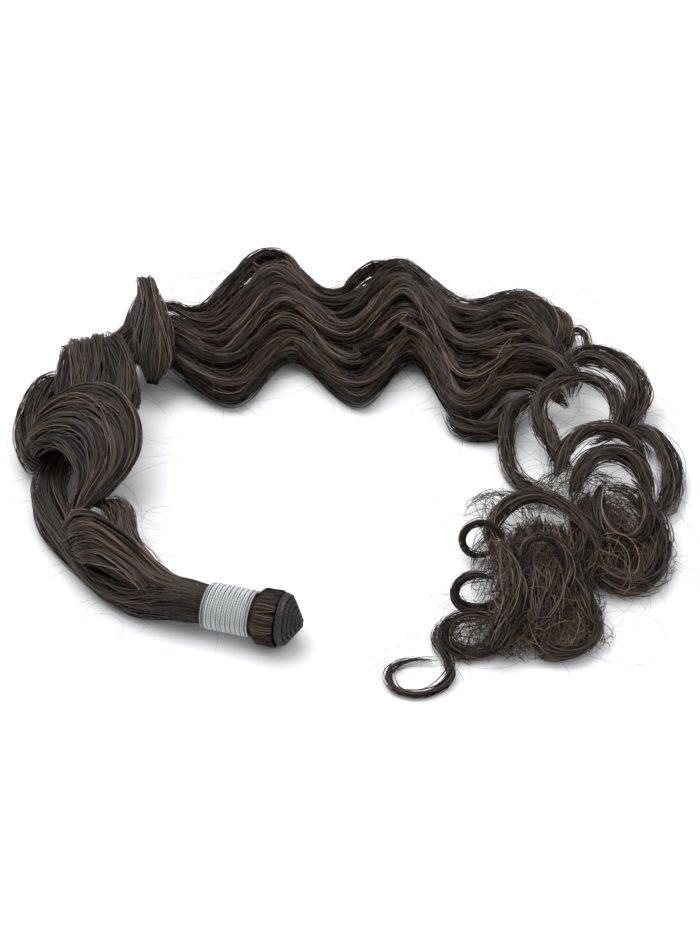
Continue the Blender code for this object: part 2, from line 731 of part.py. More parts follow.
def make_weft_band(material):
    """The sewn band rolled in a spiral, each inner turn standing out past the one around it."""
    middle, along, across, up = roll_frame()
    turn = np.linspace(0, weft_turns(), round(weft_turns() * WEFT_STEPS) + 1)[:, None]
    outward = np.sin(2 * pi * turn) * across - np.cos(2 * pi * turn) * up
    radius = outer_turn() - weft_pitch() * turn
    place = weft_start() + TURN_STEP * turn
    centres = middle + place * along + radius * outward
    top = np.tile(along * WEFT_HEIGHT / 2, (len(centres), 1))
    section = np.array(BAND_SECTION)
    mesh = tube_mesh("weft_band", centres, outward * WEFT_THICKNESS / 2, top, section)
    return make_object("weft_band", mesh, material)


def set_origin(things):
    """Moves the pieces so that the middle of the underside of them all is the origin."""
    corners = np.array([vertex.co for thing in things for vertex in thing.data.vertices])
    low = corners.min(axis=0)
    high = corners.max(axis=0)
    shift = -np.array([(low[0] + high[0]) / 2, (low[1] + high[1]) / 2, low[2]])
    for thing in things:
        thing.location = shift


def main():
    clear_scene()
    hair = make_hair(make_material("hair_fibre", HAIR_COLOUR, 0.55, 0.0))
    cord = make_tie_cord(make_material("silver_cord", CORD_COLOUR, 0.35, 0.6))
    weft = make_weft_band(make_material("weft_thread", WEFT_COLOUR, 0.7, 0.0))
    set_origin((hair, cord, weft))


main()
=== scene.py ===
"""The hair weft dressed: strands along every lock, a braided silver cord and a rolled, sewn band."""

from math import cos, pi, radians, sin
from types import SimpleNamespace

import bpy
import numpy as np
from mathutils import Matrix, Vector


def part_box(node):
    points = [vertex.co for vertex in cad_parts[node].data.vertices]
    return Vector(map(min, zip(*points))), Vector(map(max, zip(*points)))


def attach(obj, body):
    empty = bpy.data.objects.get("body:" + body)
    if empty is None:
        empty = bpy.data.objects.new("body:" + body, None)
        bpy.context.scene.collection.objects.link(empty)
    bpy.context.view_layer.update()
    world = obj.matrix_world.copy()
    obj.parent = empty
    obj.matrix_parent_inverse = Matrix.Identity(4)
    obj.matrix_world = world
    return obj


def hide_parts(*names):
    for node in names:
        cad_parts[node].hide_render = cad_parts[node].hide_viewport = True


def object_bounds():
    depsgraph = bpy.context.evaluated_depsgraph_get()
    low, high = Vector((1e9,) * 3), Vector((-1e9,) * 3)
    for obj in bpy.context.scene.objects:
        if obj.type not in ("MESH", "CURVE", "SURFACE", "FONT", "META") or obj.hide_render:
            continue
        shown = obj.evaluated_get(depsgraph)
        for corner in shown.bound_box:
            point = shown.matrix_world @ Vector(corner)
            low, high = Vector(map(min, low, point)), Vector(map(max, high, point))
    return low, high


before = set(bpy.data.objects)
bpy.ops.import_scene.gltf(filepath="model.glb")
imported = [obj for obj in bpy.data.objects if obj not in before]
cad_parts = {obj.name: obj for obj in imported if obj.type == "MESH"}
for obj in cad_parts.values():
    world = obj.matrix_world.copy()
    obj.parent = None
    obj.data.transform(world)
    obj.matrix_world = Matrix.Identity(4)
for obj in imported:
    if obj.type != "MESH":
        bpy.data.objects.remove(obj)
CAD_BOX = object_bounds()

# Sizes of the solids, in metres.
LAY = 0.100  # unit of the across, away and up columns of the lay of the hair
LOCK = 0.010  # unit of the wide and deep columns of the locks
NECK_DIAMETER = 0.0174
STUB_DIAMETER = 0.0240
STUB_LENGTH = 0.0100
CORD_DIAMETER = 0.0019
CORD_TURNS = 10
ROLL_DIAMETER = 0.0248
ROLL_EYE = 0.0017
WEFT_THICKNESS = 0.0015
WEFT_HEIGHT = 0.0030
TURN_STEP = 0.0013
PIECE_GAP = 0.0003

# Where the hair leaves the tie, as shares of LAY, and which way the roll points.
TIE_ACROSS = -0.628
TIE_AWAY = -1.222
ROLL_TURN = radians(-17.5)

# The camera looks at the middle of the lay from the front.
CAMERA_DISTANCE = 0.9
CAMERA_ELEVATION = radians(35)
CAMERA_LENS = 70

# Fineness.
CURVE_STEPS = 16  # points from one row of a table to the next
STRAND_STEP = 0.0036  # along a strand that bends gently
CURL_STEP = 0.0022  # along a strand that curls
CURL_STEPS = 48  # for each turn of a curl

# Layers of strands on a lock: width, how much of the lock's surface they cover, height over it, how far
# they stray, how far they roll about themselves, and their darkest and palest tones.
# The lower layers' darker tone ranges are painted shade under the strands over them; the spread within each
# range is the strands' own tone.
LAYERS = (
    SimpleNamespace(width=0.00095, cover=1.05, lift=-0.0007, stray=0.0003, roll=0.0, tone=(0.02, 0.45)),
    SimpleNamespace(width=0.00055, cover=1.00, lift=0.0000, stray=0.0007, roll=0.8, tone=(0.06, 0.80)),
    SimpleNamespace(width=0.00030, cover=0.42, lift=0.0006, stray=0.0013, roll=1.0, tone=(0.20, 1.00)),
)
UNDERSIDE_COVER = 0.3  # of the strands that a lock's underside would need
CLUMP_WIDTH = 0.0040  # strands draw together into bundles about this wide
CLUMP_GROOVE = 0.0008  # depth of the grooves between them
CLUMP_STRAY = 0.0014  # how far a bundle wanders sideways
CLUMP_HEAVE = 0.0005  # and up or down
TRESS_WIDTH = 0.0120  # bundles draw together into tresses about this wide
TRESS_GROOVE = 0.0020
TRESS_STRAY = 0.0024
TRESS_HEAVE = 0.0010

# How locks lie and end.
FLAT_ROUNDING = 0.75  # power that squares a flat lock's section
LOCK_END = 0.16  # share of a lock that narrows at each free end
END_SIZE = 0.55  # what it narrows to, as a share of its width and depth
FOLD_START = 0.05  # height at which a fold's strands begin, as a share of LAY
ROOT_START = 0.0055  # from the tie's end to where the root locks begin
ROOT_BLEND = 0.034  # length over which the root locks spread from the tie's ring
FLOOR_GAP = 0.0002
CORE_BREADTH = 0.0070  # of each tube in the inside of a wide lock
CORE_DEPTH = 0.0030  # under the middle of the surface strands
CORE_MARGIN = 0.0012  # from a core to the edge of a parting

# The stub, the tie's plied threads and the weft's rows of thread.
STUB_TUFTS = 26
STUB_STEPS = 15
CORD_STEP = 0.00036
PLY_LAY = 0.0024
PLY_ORBIT = 0.00029
PLY_DIAMETER = 0.00054
WEFT_STEP = 0.0003
SEWN_EDGE = SimpleNamespace(orbit=0.00042, lay=0.0034, width=0.00105, tone=0.35, hand=1)
SEWN_ROW = SimpleNamespace(orbit=0.00030, lay=0.0030, width=0.00080, tone=0.45, hand=-1)

# Fine hairs that cross each other, and single hairs that have come away.
TANGLE_WIDTH = 0.00030
TANGLE_STEPS = 20
LOOSE_COUNT = 420
LOOSE_STEPS = 24
LOOSE_WIDTH = 0.00011
LOOSE_REACH = 0.016  # past the solids' box

# Tresses that ride over the waved sheet. Each row: their share of the way up the sheet in every row of
# SHEET, height over it (share of LAY), width and depth (shares of LOCK), and how much paler they are.
TRESSES = (
    ((0.85, 0.85, 0.93, 0.94, 0.93, 0.93, 0.85, 0.80, 0.80), 0.15, 0.8, 0.6, 0.02),
    ((0.75, 0.72, 0.72, 0.72, 0.82, 0.74, 0.84, 0.62, 0.60), 0.16, 1.0, 0.7, 0.00),
    ((0.60, 0.62, 0.58, 0.60, 0.66, 0.82, 0.70, 0.80, 0.85), 0.17, 0.9, 0.7, -0.04),
    ((0.50, 0.46, 0.45, 0.46, 0.50, 0.60, 0.50, 0.35, 0.25), 0.20, 0.9, 0.7, 0.10),
    ((0.38, 0.36, 0.34, 0.38, 0.42, 0.52, 0.26, 0.22, 0.30), 0.19, 0.8, 0.6, 0.06),
    ((0.25, 0.28, 0.30, 0.22, 0.24, 0.30, 0.12, 0.40, 0.50), 0.16, 0.9, 0.7, -0.04),
    ((0.12, 0.12, 0.12, 0.10, 0.10, 0.12, 0.08, 0.12, 0.12), 0.13, 1.1, 0.8, 0.03),
)

# Partings where the floor shows between the tresses. Each row: the two ends of its middle line (across,
# away), how far that bows and its half width, all shares of LAY.
PARTINGS = (
    (-0.53, 1.74, -0.32, 1.80, 0.07, 0.040),
    (-0.71, 1.28, -0.55, 1.62, 0.00, 0.032),
    (-0.02, 1.42, 0.16, 1.77, 0.00, 0.040),
    (0.02, 0.79, 0.32, 1.13, -0.05, 0.032),
    (0.56, 0.62, 0.68, 0.65, 0.00, 0.040),
    (0.46, 1.69, 0.52, 1.64, 0.00, 0.025),
    (0.33, 1.50, 0.40, 1.54, 0.00, 0.025),
    (0.76, 1.10, 0.88, 1.13, 0.00, 0.030),
    (0.82, 1.00, 0.90, 1.04, 0.00, 0.030),
)

# Tangles of fine hair. Each row: middle (across, away), reach across and away, height at the rim and in
# the middle (shares of LAY), the hairs' heading and how far they turn from it (degrees), how many.
TANGLES = (
    (0.88, -0.98, 0.20, 0.38, 0.10, 0.20, 90, 45, 420),
    (0.84, -1.30, 0.24, 0.14, 0.07, 0.14, 40, 50, 200),
    (0.72, -0.44, 0.14, 0.10, 0.09, 0.15, 130, 40, 60),
    (0.68, -1.00, 0.10, 0.40, 0.09, 0.17, 100, 30, 180),
    (0.55, -1.32, 0.14, 0.12, 0.06, 0.13, 10, 60, 110),
    (1.24, -0.68, 0.20, 0.34, 0.08, 0.16, 90, 60, 180),
    (1.08, -0.34, 0.20, 0.16, 0.12, 0.19, 40, 50, 90),
)

# Flat locks that fan out or fold over. Each row is one section: its near edge (across, away, up),
# its far edge (across, away, up), all shares of LAY, and its depth as a share of LOCK.
ROOT_FAN = (
    (-0.68, -1.25, 0.10, -0.67, -1.17, 0.15, 0.6),
    (-0.80, -1.22, 0.11, -0.80, -1.02, 0.17, 1.0),
    (-0.95, -1.14, 0.13, -0.95, -0.87, 0.19, 1.1),
    (-1.07, -1.07, 0.16, -1.11, -0.73, 0.21, 1.1),
    (-1.16, -1.02, 0.18, -1.24, -0.65, 0.22, 1.0),
    (-1.22, -0.95, 0.10, -1.35, -0.58, 0.12, 0.8),
)
LOWER_FOLD = (
    (-1.50, -0.14, 0.11, -1.50, 0.10, 0.12, 0.9),
    (-1.52, -0.20, 0.21, -1.49, 0.21, 0.23, 1.0),
    (-1.45, -0.24, 0.28, -1.30, 0.29, 0.31, 1.1),
    (-1.37, -0.29, 0.29, -1.12, 0.20, 0.32, 1.1),
    (-1.31, -0.37, 0.26, -1.01, -0.02, 0.28, 1.0),
    (-1.29, -0.46, 0.22, -1.01, -0.26, 0.22, 0.9),
    (-1.30, -0.58, 0.18, -1.12, -0.47, 0.18, 0.8),
    (-1.33, -0.69, 0.155, -1.26, -0.62, 0.15, 0.68),
)
UPPER_FOLD = (
    (-1.42, 0.70, 0.15, -1.18, 0.78, 0.16, 0.8),
    (-1.47, 0.66, 0.27, -1.20, 0.75, 0.29, 1.0),
    (-1.48, 0.54, 0.31, -1.13, 0.61, 0.32, 1.1),
    (-1.48, 0.41, 0.30, -1.07, 0.42, 0.29, 1.1),
    (-1.48, 0.28, 0.26, -1.03, 0.24, 0.25, 1.0),
    (-1.45, 0.12, 0.19, -1.04, 0.08, 0.18, 0.9),
)
TALL_FOLD = (
    (-1.13, 1.31, 0.24, -1.05, 1.32, 0.24, 0.8),
    (-1.15, 1.24, 0.34, -1.06, 1.24, 0.35, 0.9),
    (-1.15, 1.12, 0.35, -1.01, 1.12, 0.35, 1.0),
    (-1.15, 1.00, 0.32, -0.95, 0.97, 0.31, 1.1),
    (-1.15, 0.86, 0.28, -0.91, 0.80, 0.26, 1.1),
    (-1.13, 0.70, 0.22, -0.91, 0.64, 0.19, 1.0),
    (-1.10, 0.56, 0.15, -0.94, 0.54, 0.13, 0.9),
)

# The waved sheet between the tall fold and the curls. Each row is a trough or a crest of the wave:
# its bottom edge and its top edge (across, away), then how far it rises above its usual height,
# all shares of LAY.
SHEET = (
    (-1.08, 0.80, -1.08, 1.22, 0.13),
    (-0.94, 0.70, -0.98, 1.34, 0.06),
    (-0.58, 0.45, -0.81, 1.42, 0.00),
    (-0.30, 0.86, -0.49, 1.97, 0.02),
    (0.05, 0.46, -0.12, 1.55, 0.00),
    (0.34, 0.84, 0.28, 1.85, 0.02),
    (0.57, 0.23, 0.62, 1.45, 0.00),
    (0.88, 0.58, 0.96, 1.47, 0.03),
    (1.08, 0.62, 1.14, 1.00, -0.01),
)
# Its layers: the shares of the way up the sheet where each one begins and ends in every row of SHEET,
# then its height (share of LAY) and its depth (share of LOCK).
SHEET_LAYERS = (
    (
        (0.01, 0.01, 0.03, 0.01, 0.01, 0.02, 0.05, 0.06, 0.06),
        (0.36, 0.36, 0.40, 0.32, 0.33, 0.36, 0.42, 0.40, 0.40),
        0.07, 1.4,
    ),
    (
        (0.30, 0.30, 0.34, 0.30, 0.34, 0.34, 0.36, 0.36, 0.30),
        (0.68, 0.68, 0.72, 0.64, 0.70, 0.66, 0.74, 0.72, 0.66),
        0.10, 1.5,
    ),
    (
        (0.62, 0.62, 0.66, 0.60, 0.66, 0.62, 0.68, 0.66, 0.56),
        (0.88, 0.88, 0.88, 0.80, 0.88, 0.84, 0.88, 0.88, 0.88),
        0.07, 1.4,
    ),
    (
        (0.84, 0.84, 0.84, 0.88, 0.86, 0.88, 0.86, 0.86, 0.80),
        (0.99, 0.99, 0.99, 0.99, 0.99, 0.99, 0.99, 0.99, 0.99),
        0.11, 1.2,
    ),
)

# Locks that run free. Each row is one section: across, away, up (shares of LAY), then width and depth
# (shares of LOCK).
ROOT_SWEEP = (
    (-0.68, -1.21, 0.11, 1.3, 1.3),
    (-0.80, -1.17, 0.08, 1.8, 1.6),
    (-0.94, -1.10, 0.07, 2.0, 1.6),
    (-1.08, -0.97, 0.065, 2.0, 1.6),
    (-1.22, -0.80, 0.065, 2.0, 1.6),
    (-1.32, -0.66, 0.07, 2.0, 1.6),
    (-1.39, -0.51, 0.08, 2.0, 1.6),
    (-1.43, -0.35, 0.09, 1.9, 1.5),
    (-1.42, -0.18, 0.11, 1.8, 1.4),
    (-1.37, 0.00, 0.13, 1.6, 1.2),
)
ROOT_BACK = (
    (-0.69, -1.17, 0.13, 1.1, 1.1),
    (-0.82, -1.05, 0.12, 1.4, 1.3),
    (-0.96, -0.91, 0.12, 1.6, 1.5),
    (-1.03, -0.77, 0.13, 1.6, 1.5),
    (-1.06, -0.63, 0.13, 1.5, 1.4),
    (-1.11, -0.52, 0.13, 1.4, 1.2),
    (-1.22, -0.46, 0.12, 1.2, 1.0),
)
UNDER_FOLDS = (
    (-1.43, -0.30, 0.11, 1.6, 1.4),
    (-1.36, 0.00, 0.13, 2.4, 1.8),
    (-1.30, 0.25, 0.15, 2.8, 2.2),
    (-1.27, 0.50, 0.17, 2.8, 2.4),
    (-1.21, 0.74, 0.18, 2.4, 2.2),
    (-1.14, 0.96, 0.20, 1.8, 2.0),
    (-1.11, 1.20, 0.27, 1.4, 1.6),
    (-1.12, 1.32, 0.31, 1.2, 1.2),
)
LEFT_LOOP = (
    (-1.44, 0.52, 0.22, 1.4, 1.2),
    (-1.53, 0.43, 0.19, 1.7, 1.6),
    (-1.59, 0.27, 0.14, 1.8, 1.8),
    (-1.59, 0.09, 0.11, 1.8, 1.7),
    (-1.53, -0.07, 0.09, 1.7, 1.5),
    (-1.44, -0.18, 0.10, 1.5, 1.3),
)
CREST_OUTER = (
    (0.84, 1.40, 0.14, 1.2, 1.1),
    (0.96, 1.42, 0.15, 1.3, 1.1),
    (1.07, 1.31, 0.14, 1.2, 1.1),
    (1.12, 1.15, 0.13, 1.1, 1.0),
    (1.12, 1.00, 0.12, 1.1, 1.0),
    (1.08, 0.84, 0.11, 1.0, 0.9),
)
CREST_INNER = (
    (0.58, 1.16, 0.12, 1.3, 1.1),
    (0.74, 1.26, 0.14, 1.4, 1.2),
    (0.90, 1.28, 0.15, 1.4, 1.2),
    (1.01, 1.14, 0.15, 1.3, 1.1),
    (1.06, 0.95, 0.14, 1.3, 1.1),
    (1.10, 0.75, 0.13, 1.2, 1.0),
    (1.16, 0.60, 0.12, 1.0, 0.9),
)
RIGHT_DROP = (
    (1.02, 1.36, 0.10, 0.8, 0.7),
    (1.12, 1.34, 0.11, 0.9, 0.7),
    (1.18, 1.22, 0.11, 0.9, 0.8),
    (1.19, 1.06, 0.11, 0.9, 0.8),
    (1.16, 0.90, 0.11, 0.8, 0.7),
)
RIGHT_TUFT = (
    (1.16, 1.02, 0.09, 0.6, 0.6),
    (1.21, 1.13, 0.11, 0.7, 0.6),
    (1.26, 1.10, 0.12, 0.7, 0.6),
    (1.27, 0.98, 0.12, 0.7, 0.6),
    (1.25, 0.86, 0.12, 0.7, 0.6),
)
RIGHT_SHOULDER = (
    (1.10, 0.70, 0.13, 1.2, 1.1),
    (1.22, 0.79, 0.15, 1.5, 1.3),
    (1.34, 0.76, 0.16, 1.6, 1.3),
    (1.43, 0.64, 0.16, 1.6, 1.3),
    (1.47, 0.50, 0.14, 1.6, 1.3),
    (1.45, 0.36, 0.12, 1.6, 1.3),
    (1.39, 0.22, 0.11, 1.5, 1.2),
    (1.35, 0.08, 0.10, 1.2, 1.0),
)
MIDDLE_SWELL = (
    (0.50, 1.00, 0.11, 1.3, 1.1),
    (0.65, 0.86, 0.13, 1.4, 1.2),
    (0.80, 0.80, 0.15, 1.5, 1.2),
    (0.95, 0.79, 0.17, 1.5, 1.2),
    (1.08, 0.71, 0.17, 1.5, 1.2),
    (1.14, 0.57, 0.15, 1.4, 1.1),
    (1.13, 0.42, 0.13, 1.1, 0.9),
)
LOBE_SWELL = (
    (0.55, 0.34, 0.09, 1.2, 1.0),
    (0.65, 0.46, 0.12, 1.3, 1.1),
    (0.78, 0.54, 0.14, 1.4, 1.1),
    (0.92, 0.54, 0.15, 1.4, 1.1),
    (1.04, 0.46, 0.14, 1.2, 1.0),
    (1.11, 0.34, 0.12, 1.0, 0.8),
)
LOBE_TAIL = (
    (0.50, 0.40, 0.06, 1.2, 1.1),
    (0.60, 0.26, 0.05, 1.4, 1.2),
    (0.73, 0.26, 0.05, 1.4, 1.2),
    (0.84, 0.38, 0.09, 1.3, 1.1),
    (0.96, 0.47, 0.13, 1.1, 1.0),
)
LEFT_HOOK = (
    (0.92, 0.42, 0.14, 0.9, 0.8),
    (0.83, 0.32, 0.12, 1.0, 0.9),
    (0.78, 0.14, 0.08, 1.0, 1.0),
    (0.78, -0.04, 0.045, 1.0, 1.0),
    (0.82, -0.20, 0.045, 1.0, 1.0),
    (0.91, -0.32, 0.07, 1.0, 1.0),
    (1.03, -0.40, 0.11, 1.0, 0.9),
)
INNER_HOOK = (
    (0.96, 0.22, 0.15, 0.8, 0.8),
    (0.99, 0.06, 0.14, 0.9, 0.9),
    (1.01, -0.08, 0.13, 1.0, 0.9),
    (1.07, -0.20, 0.13, 1.0, 0.9),
)
RIGHT_HOOK = (
    (1.35, 0.15, 0.11, 1.1, 1.0),
    (1.45, 0.16, 0.11, 1.2, 1.1),
    (1.53, 0.08, 0.09, 1.2, 1.1),
    (1.57, -0.06, 0.07, 1.2, 1.1),
    (1.56, -0.21, 0.05, 1.2, 1.1),
    (1.51, -0.36, 0.05, 1.2, 1.1),
    (1.44, -0.49, 0.07, 1.1, 1.0),
)
CROWN_UPPER = (
    (0.98, -0.28, 0.12, 1.0, 0.9),
    (1.04, -0.12, 0.17, 1.0, 0.9),
    (1.14, -0.02, 0.21, 1.1, 0.9),
    (1.27, 0.00, 0.22, 1.1, 0.9),
    (1.38, -0.07, 0.20, 1.1, 0.9),
    (1.44, -0.20, 0.14, 1.0, 0.9),
)
CROWN_LOWER = (
    (1.04, -0.50, 0.12, 1.0, 0.9),
    (1.08, -0.34, 0.19, 1.1, 0.9),
    (1.17, -0.25, 0.24, 1.2, 0.9),
    (1.29, -0.25, 0.25, 1.2, 0.9),
    (1.38, -0.34, 0.22, 1.1, 0.9),
    (1.43, -0.50, 0.14, 1.0, 0.9),
)
FRONT_ARCH = (
    (0.66, -0.86, 0.09, 0.9, 0.8),
    (0.65, -0.69, 0.13, 0.9, 0.8),
    (0.73, -0.55, 0.16, 1.0, 0.8),
    (0.87, -0.51, 0.18, 1.0, 0.8),
    (1.00, -0.58, 0.17, 1.0, 0.8),
    (1.10, -0.72, 0.14, 1.0, 0.8),
    (1.15, -0.88, 0.11, 1.0, 0.8),
)
RINGLET_BED = (
    (1.08, -0.40, 0.09, 1.4, 1.0),
    (1.20, -0.55, 0.07, 2.2, 1.0),
    (1.26, -0.72, 0.06, 2.2, 1.0),
    (1.24, -0.90, 0.06, 1.6, 1.0),
)
FALL_LEFT = (
    (0.66, -0.76, 0.12, 1.2, 1.0),
    (0.71, -0.91, 0.13, 1.3, 1.1),
    (0.74, -1.07, 0.13, 1.4, 1.1),
    (0.72, -1.23, 0.12, 1.4, 1.1),
    (0.66, -1.38, 0.10, 1.3, 1.0),
    (0.60, -1.50, 0.08, 1.0, 0.9),
)
FALL_NEAR_LEFT = (
    (0.78, -0.60, 0.10, 0.9, 0.8),
    (0.80, -0.80, 0.09, 1.2, 1.0),
    (0.81, -1.00, 0.09, 1.2, 1.0),
    (0.79, -1.18, 0.09, 1.2, 1.0),
    (0.74, -1.36, 0.08, 1.0, 0.9),
)
FALL_NEAR_RIGHT = (
    (0.98, -0.60, 0.10, 0.9, 0.8),
    (0.97, -0.80, 0.09, 1.2, 1.0),
    (0.95, -1.00, 0.09, 1.2, 1.0),
    (0.95, -1.17, 0.08, 1.1, 1.0),
    (0.93, -1.32, 0.07, 0.9, 0.9),
)
FALL_MIDDLE = (
    (0.88, -0.56, 0.11, 1.5, 1.2),
    (0.87, -0.75, 0.12, 1.8, 1.4),
    (0.90, -0.95, 0.13, 1.8, 1.4),
    (0.88, -1.13, 0.13, 1.8, 1.4),
    (0.84, -1.29, 0.11, 1.6, 1.2),
    (0.80, -1.42, 0.08, 1.2, 0.9),
)
FALL_RIGHT = (
    (1.08, -0.66, 0.11, 1.3, 1.1),
    (1.05, -0.86, 0.12, 1.4, 1.2),
    (1.00, -1.03, 0.12, 1.4, 1.2),
    (1.01, -1.19, 0.11, 1.3, 1.1),
    (1.05, -1.32, 0.09, 1.1, 0.9),
)
FRONT_HOOK = (
    (1.00, -1.06, 0.09, 1.0, 0.9),
    (1.06, -1.16, 0.06, 1.0, 0.9),
    (1.06, -1.30, 0.04, 0.9, 0.9),
    (0.98, -1.42, 0.035, 0.9, 0.8),
    (0.86, -1.44, 0.035, 0.8, 0.8),
    (0.77, -1.35, 0.05, 0.7, 0.7),
)
TIP_WISP = (
    (0.42, -1.22, 0.06, 0.6, 0.6),
    (0.38, -1.33, 0.03, 0.5, 0.5),
    (0.41, -1.45, 0.02, 0.5, 0.5),
    (0.43, -1.56, 0.02, 0.5, 0.5),
    (0.39, -1.64, 0.02, 0.45, 0.5),
    (0.29, -1.69, 0.02, 0.4, 0.5),
    (0.19, -1.66, 0.02, 0.4, 0.5),
    (0.16, -1.57, 0.02, 0.35, 0.45),
    (0.20, -1.50, 0.02, 0.35, 0.45),
    (0.29, -1.47, 0.02, 0.35, 0.4),
    (0.38, -1.49, 0.03, 0.35, 0.4),
)

# Curls that wind round on themselves. Each row: middle (across, away, up), radius across and radius
# up the slope, all shares of LAY; slope, start and sweep in degrees; drift away and drift up from end
# to end (shares of LAY); width and depth (shares of LOCK).
CURLS = (
    (1.14, 0.22, 0.17, 0.20, 0.23, 20, 250, -330, 0.04, 0.04, 1.0, 0.8),
    (1.25, -0.66, 0.08, 0.18, 0.34, 6, 100, -330, 0.02, 0.02, 1.3, 1.2),
    (1.26, -0.58, 0.17, 0.11, 0.20, 15, 60, -300, 0.03, -0.03, 0.9, 0.8),
    (0.87, -1.04, 0.20, 0.10, 0.11, 30, 200, -320, -0.10, -0.04, 0.6, 0.6),
    (0.61, -0.74, 0.11, 0.095, 0.095, 55, 330, -330, -0.12, 0.00, 0.45, 0.45),
    (0.58, -1.10, 0.11, 0.12, 0.10, 50, 30, -330, -0.16, 0.00, 0.6, 0.6),
    (0.54, -1.38, 0.10, 0.13, 0.10, 45, 30, -330, -0.10, -0.01, 0.8, 0.7),
)


def unit(vectors):
    return vectors / np.linalg.norm(vectors, axis=-1, keepdims=True)


def ease(x):
    x = np.clip(x, 0, 1)
    return x * x * (3 - 2 * x)


def smooth_rows(rows):
    """Rows of a smooth curve through the given rows, with CURVE_STEPS from each one to the next."""
    rows = np.asarray(rows, float)
    padded = np.vstack([2 * rows[0] - rows[1], rows, 2 * rows[-1] - rows[-2]])
    found = []
    for before, here, after, later in zip(padded, padded[1:], padded[2:], padded[3:]):
        for t in np.arange(CURVE_STEPS) / CURVE_STEPS:
            bend = 2 * before - 5 * here + 4 * after - later
            twist = 3 * here - before - 3 * after + later
            found.append(here + 0.5 * t * (after - before + t * (bend + t * twist)))
    return np.vstack([found, rows[-1]])


def tie_length():
    return CORD_TURNS * (CORD_DIAMETER + PIECE_GAP) + CORD_DIAMETER


def roll_frame():
    """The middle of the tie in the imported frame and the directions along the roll, across it and up."""
    along = np.array([cos(ROLL_TURN), sin(ROLL_TURN), 0])
    across = np.array([-sin(ROLL_TURN), cos(ROLL_TURN), 0])
    low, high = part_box("tie_cord")
    middle = (np.array(low) + np.array(high)) / 2
    middle[2] = ROLL_DIAMETER / 2
    return middle, along, across, np.array([0, 0, 1.0])


MIDDLE, ALONG, ACROSS, UP = roll_frame()
TIE_END = MIDDLE - ALONG * tie_length() / 2
SHIFT = TIE_END - np.array([TIE_ACROSS * LAY, TIE_AWAY * LAY, ROLL_DIAMETER / 2])


def section_point(turn, flat):
    """The point of a section at this share of a turn, in half widths and half depths."""
    x = np.cos(2 * pi * turn)
    y = np.sin(2 * pi * turn)
    if flat:
        x = np.sign(x) * np.abs(x) ** FLAT_ROUNDING
        y = np.sign(y) * np.abs(y) ** FLAT_ROUNDING
    return x, y


# A lock's tone shift: the tresses' own paler and darker tones, and painted shade on the waved sheet under
# them.
PLAIN = {"flat": False, "curly": False, "root": False, "loose": 0.0, "shade": 0.0, "cover": 1.0}


def new_lock(centres, side, top, **kinds):
    """A lock: its middle line, its half width and half depth as vectors, and how its strands lie."""
    kinds = {**PLAIN, **kinds}
    steps = np.linalg.norm(np.diff(centres, axis=0), axis=1)
    wide = np.linalg.norm(side, axis=1).mean()
    deep = np.linalg.norm(top, axis=1).mean()
    turns = np.linspace(0, 1, 241)
    x, y = section_point(turns, kinds["flat"])
    rim = np.hypot(np.diff(wide * x), np.diff(deep * y))
    rim = np.concatenate([[0], np.cumsum(rim)])
    return SimpleNamespace(
        at=np.concatenate([[0], np.cumsum(steps)]),
        centres=centres + SHIFT,
        side=side,
        top=top,
        wide=wide,
        deep=deep,
        girth=rim[-1],
        turns=turns,
        rim=rim / rim[-1],
        **kinds,
    )


def rope(rows, **kinds):
    rows = smooth_rows(rows)
    centres = rows[:, :3] * LAY
    along = unit(np.gradient(centres, axis=0))
    side = unit(np.cross(along, (0, 0, 1)))
    top = np.cross(side, along)
    return new_lock(centres, side * rows[:, 3:4] * LOCK / 2, top * rows[:, 4:5] * LOCK / 2, **kinds)


def fan(rows, **kinds):
    rows = smooth_rows(rows)
    near = rows[:, :3] * LAY
    far = rows[:, 3:6] * LAY
    centres = (near + far) / 2
    along = unit(np.gradient(centres, axis=0))
    normal = unit(np.cross(far - near, along))
    normal *= np.sign(normal[:, 2:3].sum())
    return new_lock(centres, (far - near) / 2, normal * rows[:, 6:7] * LOCK / 2, flat=True, **kinds)


def across_sheet(shares):
    """The points that lie this share of the way up each row of the sheet."""
    edges = np.asarray(SHEET, float)
    shares = np.asarray(shares)[:, None]
    return edges[:, :2] * (1 - shares) + edges[:, 2:4] * shares


def fold(rows, **kinds):
    """A flat lock that comes up from under itself before it folds over."""
    rows = np.asarray(rows, float)
    under = rows[0] + 0.5 * (rows[2] - rows[0])
    under[[2, 5]] = FOLD_START
    return fan(np.vstack([under, rows]), **kinds)


def sheet_layer(near_shares, far_shares, up, deep):
    height = np.asarray(SHEET)[:, 4:5] + up
    rows = [across_sheet(near_shares), height, across_sheet(far_shares), height, np.full(len(height), deep)]
    # The sheet's layers are made darker: painted shade in the valleys under the tresses.
    return fan(np.column_stack(rows), cover=0.8, shade=-0.06)


def tress(shares, up, wide, deep, shade):
    """A tress that rides over the sheet."""
    height = np.asarray(SHEET)[:, 4] + up
    count = len(height)
    rows = [across_sheet(shares), height, np.full(count, wide), np.full(count, deep)]
    return rope(np.column_stack(rows), loose=0.15, shade=shade)


def curl(row, loose=0.5):
    across, away, up, wide_radius, tall_radius, slope, start, sweep, drift, lift, wide, deep = row
    share = np.linspace(0, 1, round(CURL_STEPS * abs(sweep) / 360) + 1)
    angle = np.radians(start + sweep * share)
    rise = tall_radius * np.sin(angle)
    centres = LAY * np.column_stack(
        [
            across + wide_radius * np.cos(angle),
            away + rise * cos(radians(slope)) + drift * (share - 0.5),
            up + rise * sin(radians(slope)) + lift * (share - 0.5),
        ]
    )
    along = unit(np.gradient(centres, axis=0))
    axis = np.array([0, -sin(radians(slope)), cos(radians(slope))])
    side = unit(np.cross(along, axis))
    top = np.cross(side, along)
    return new_lock(centres, side * wide * LOCK / 2, top * deep * LOCK / 2, curly=True, loose=loose)


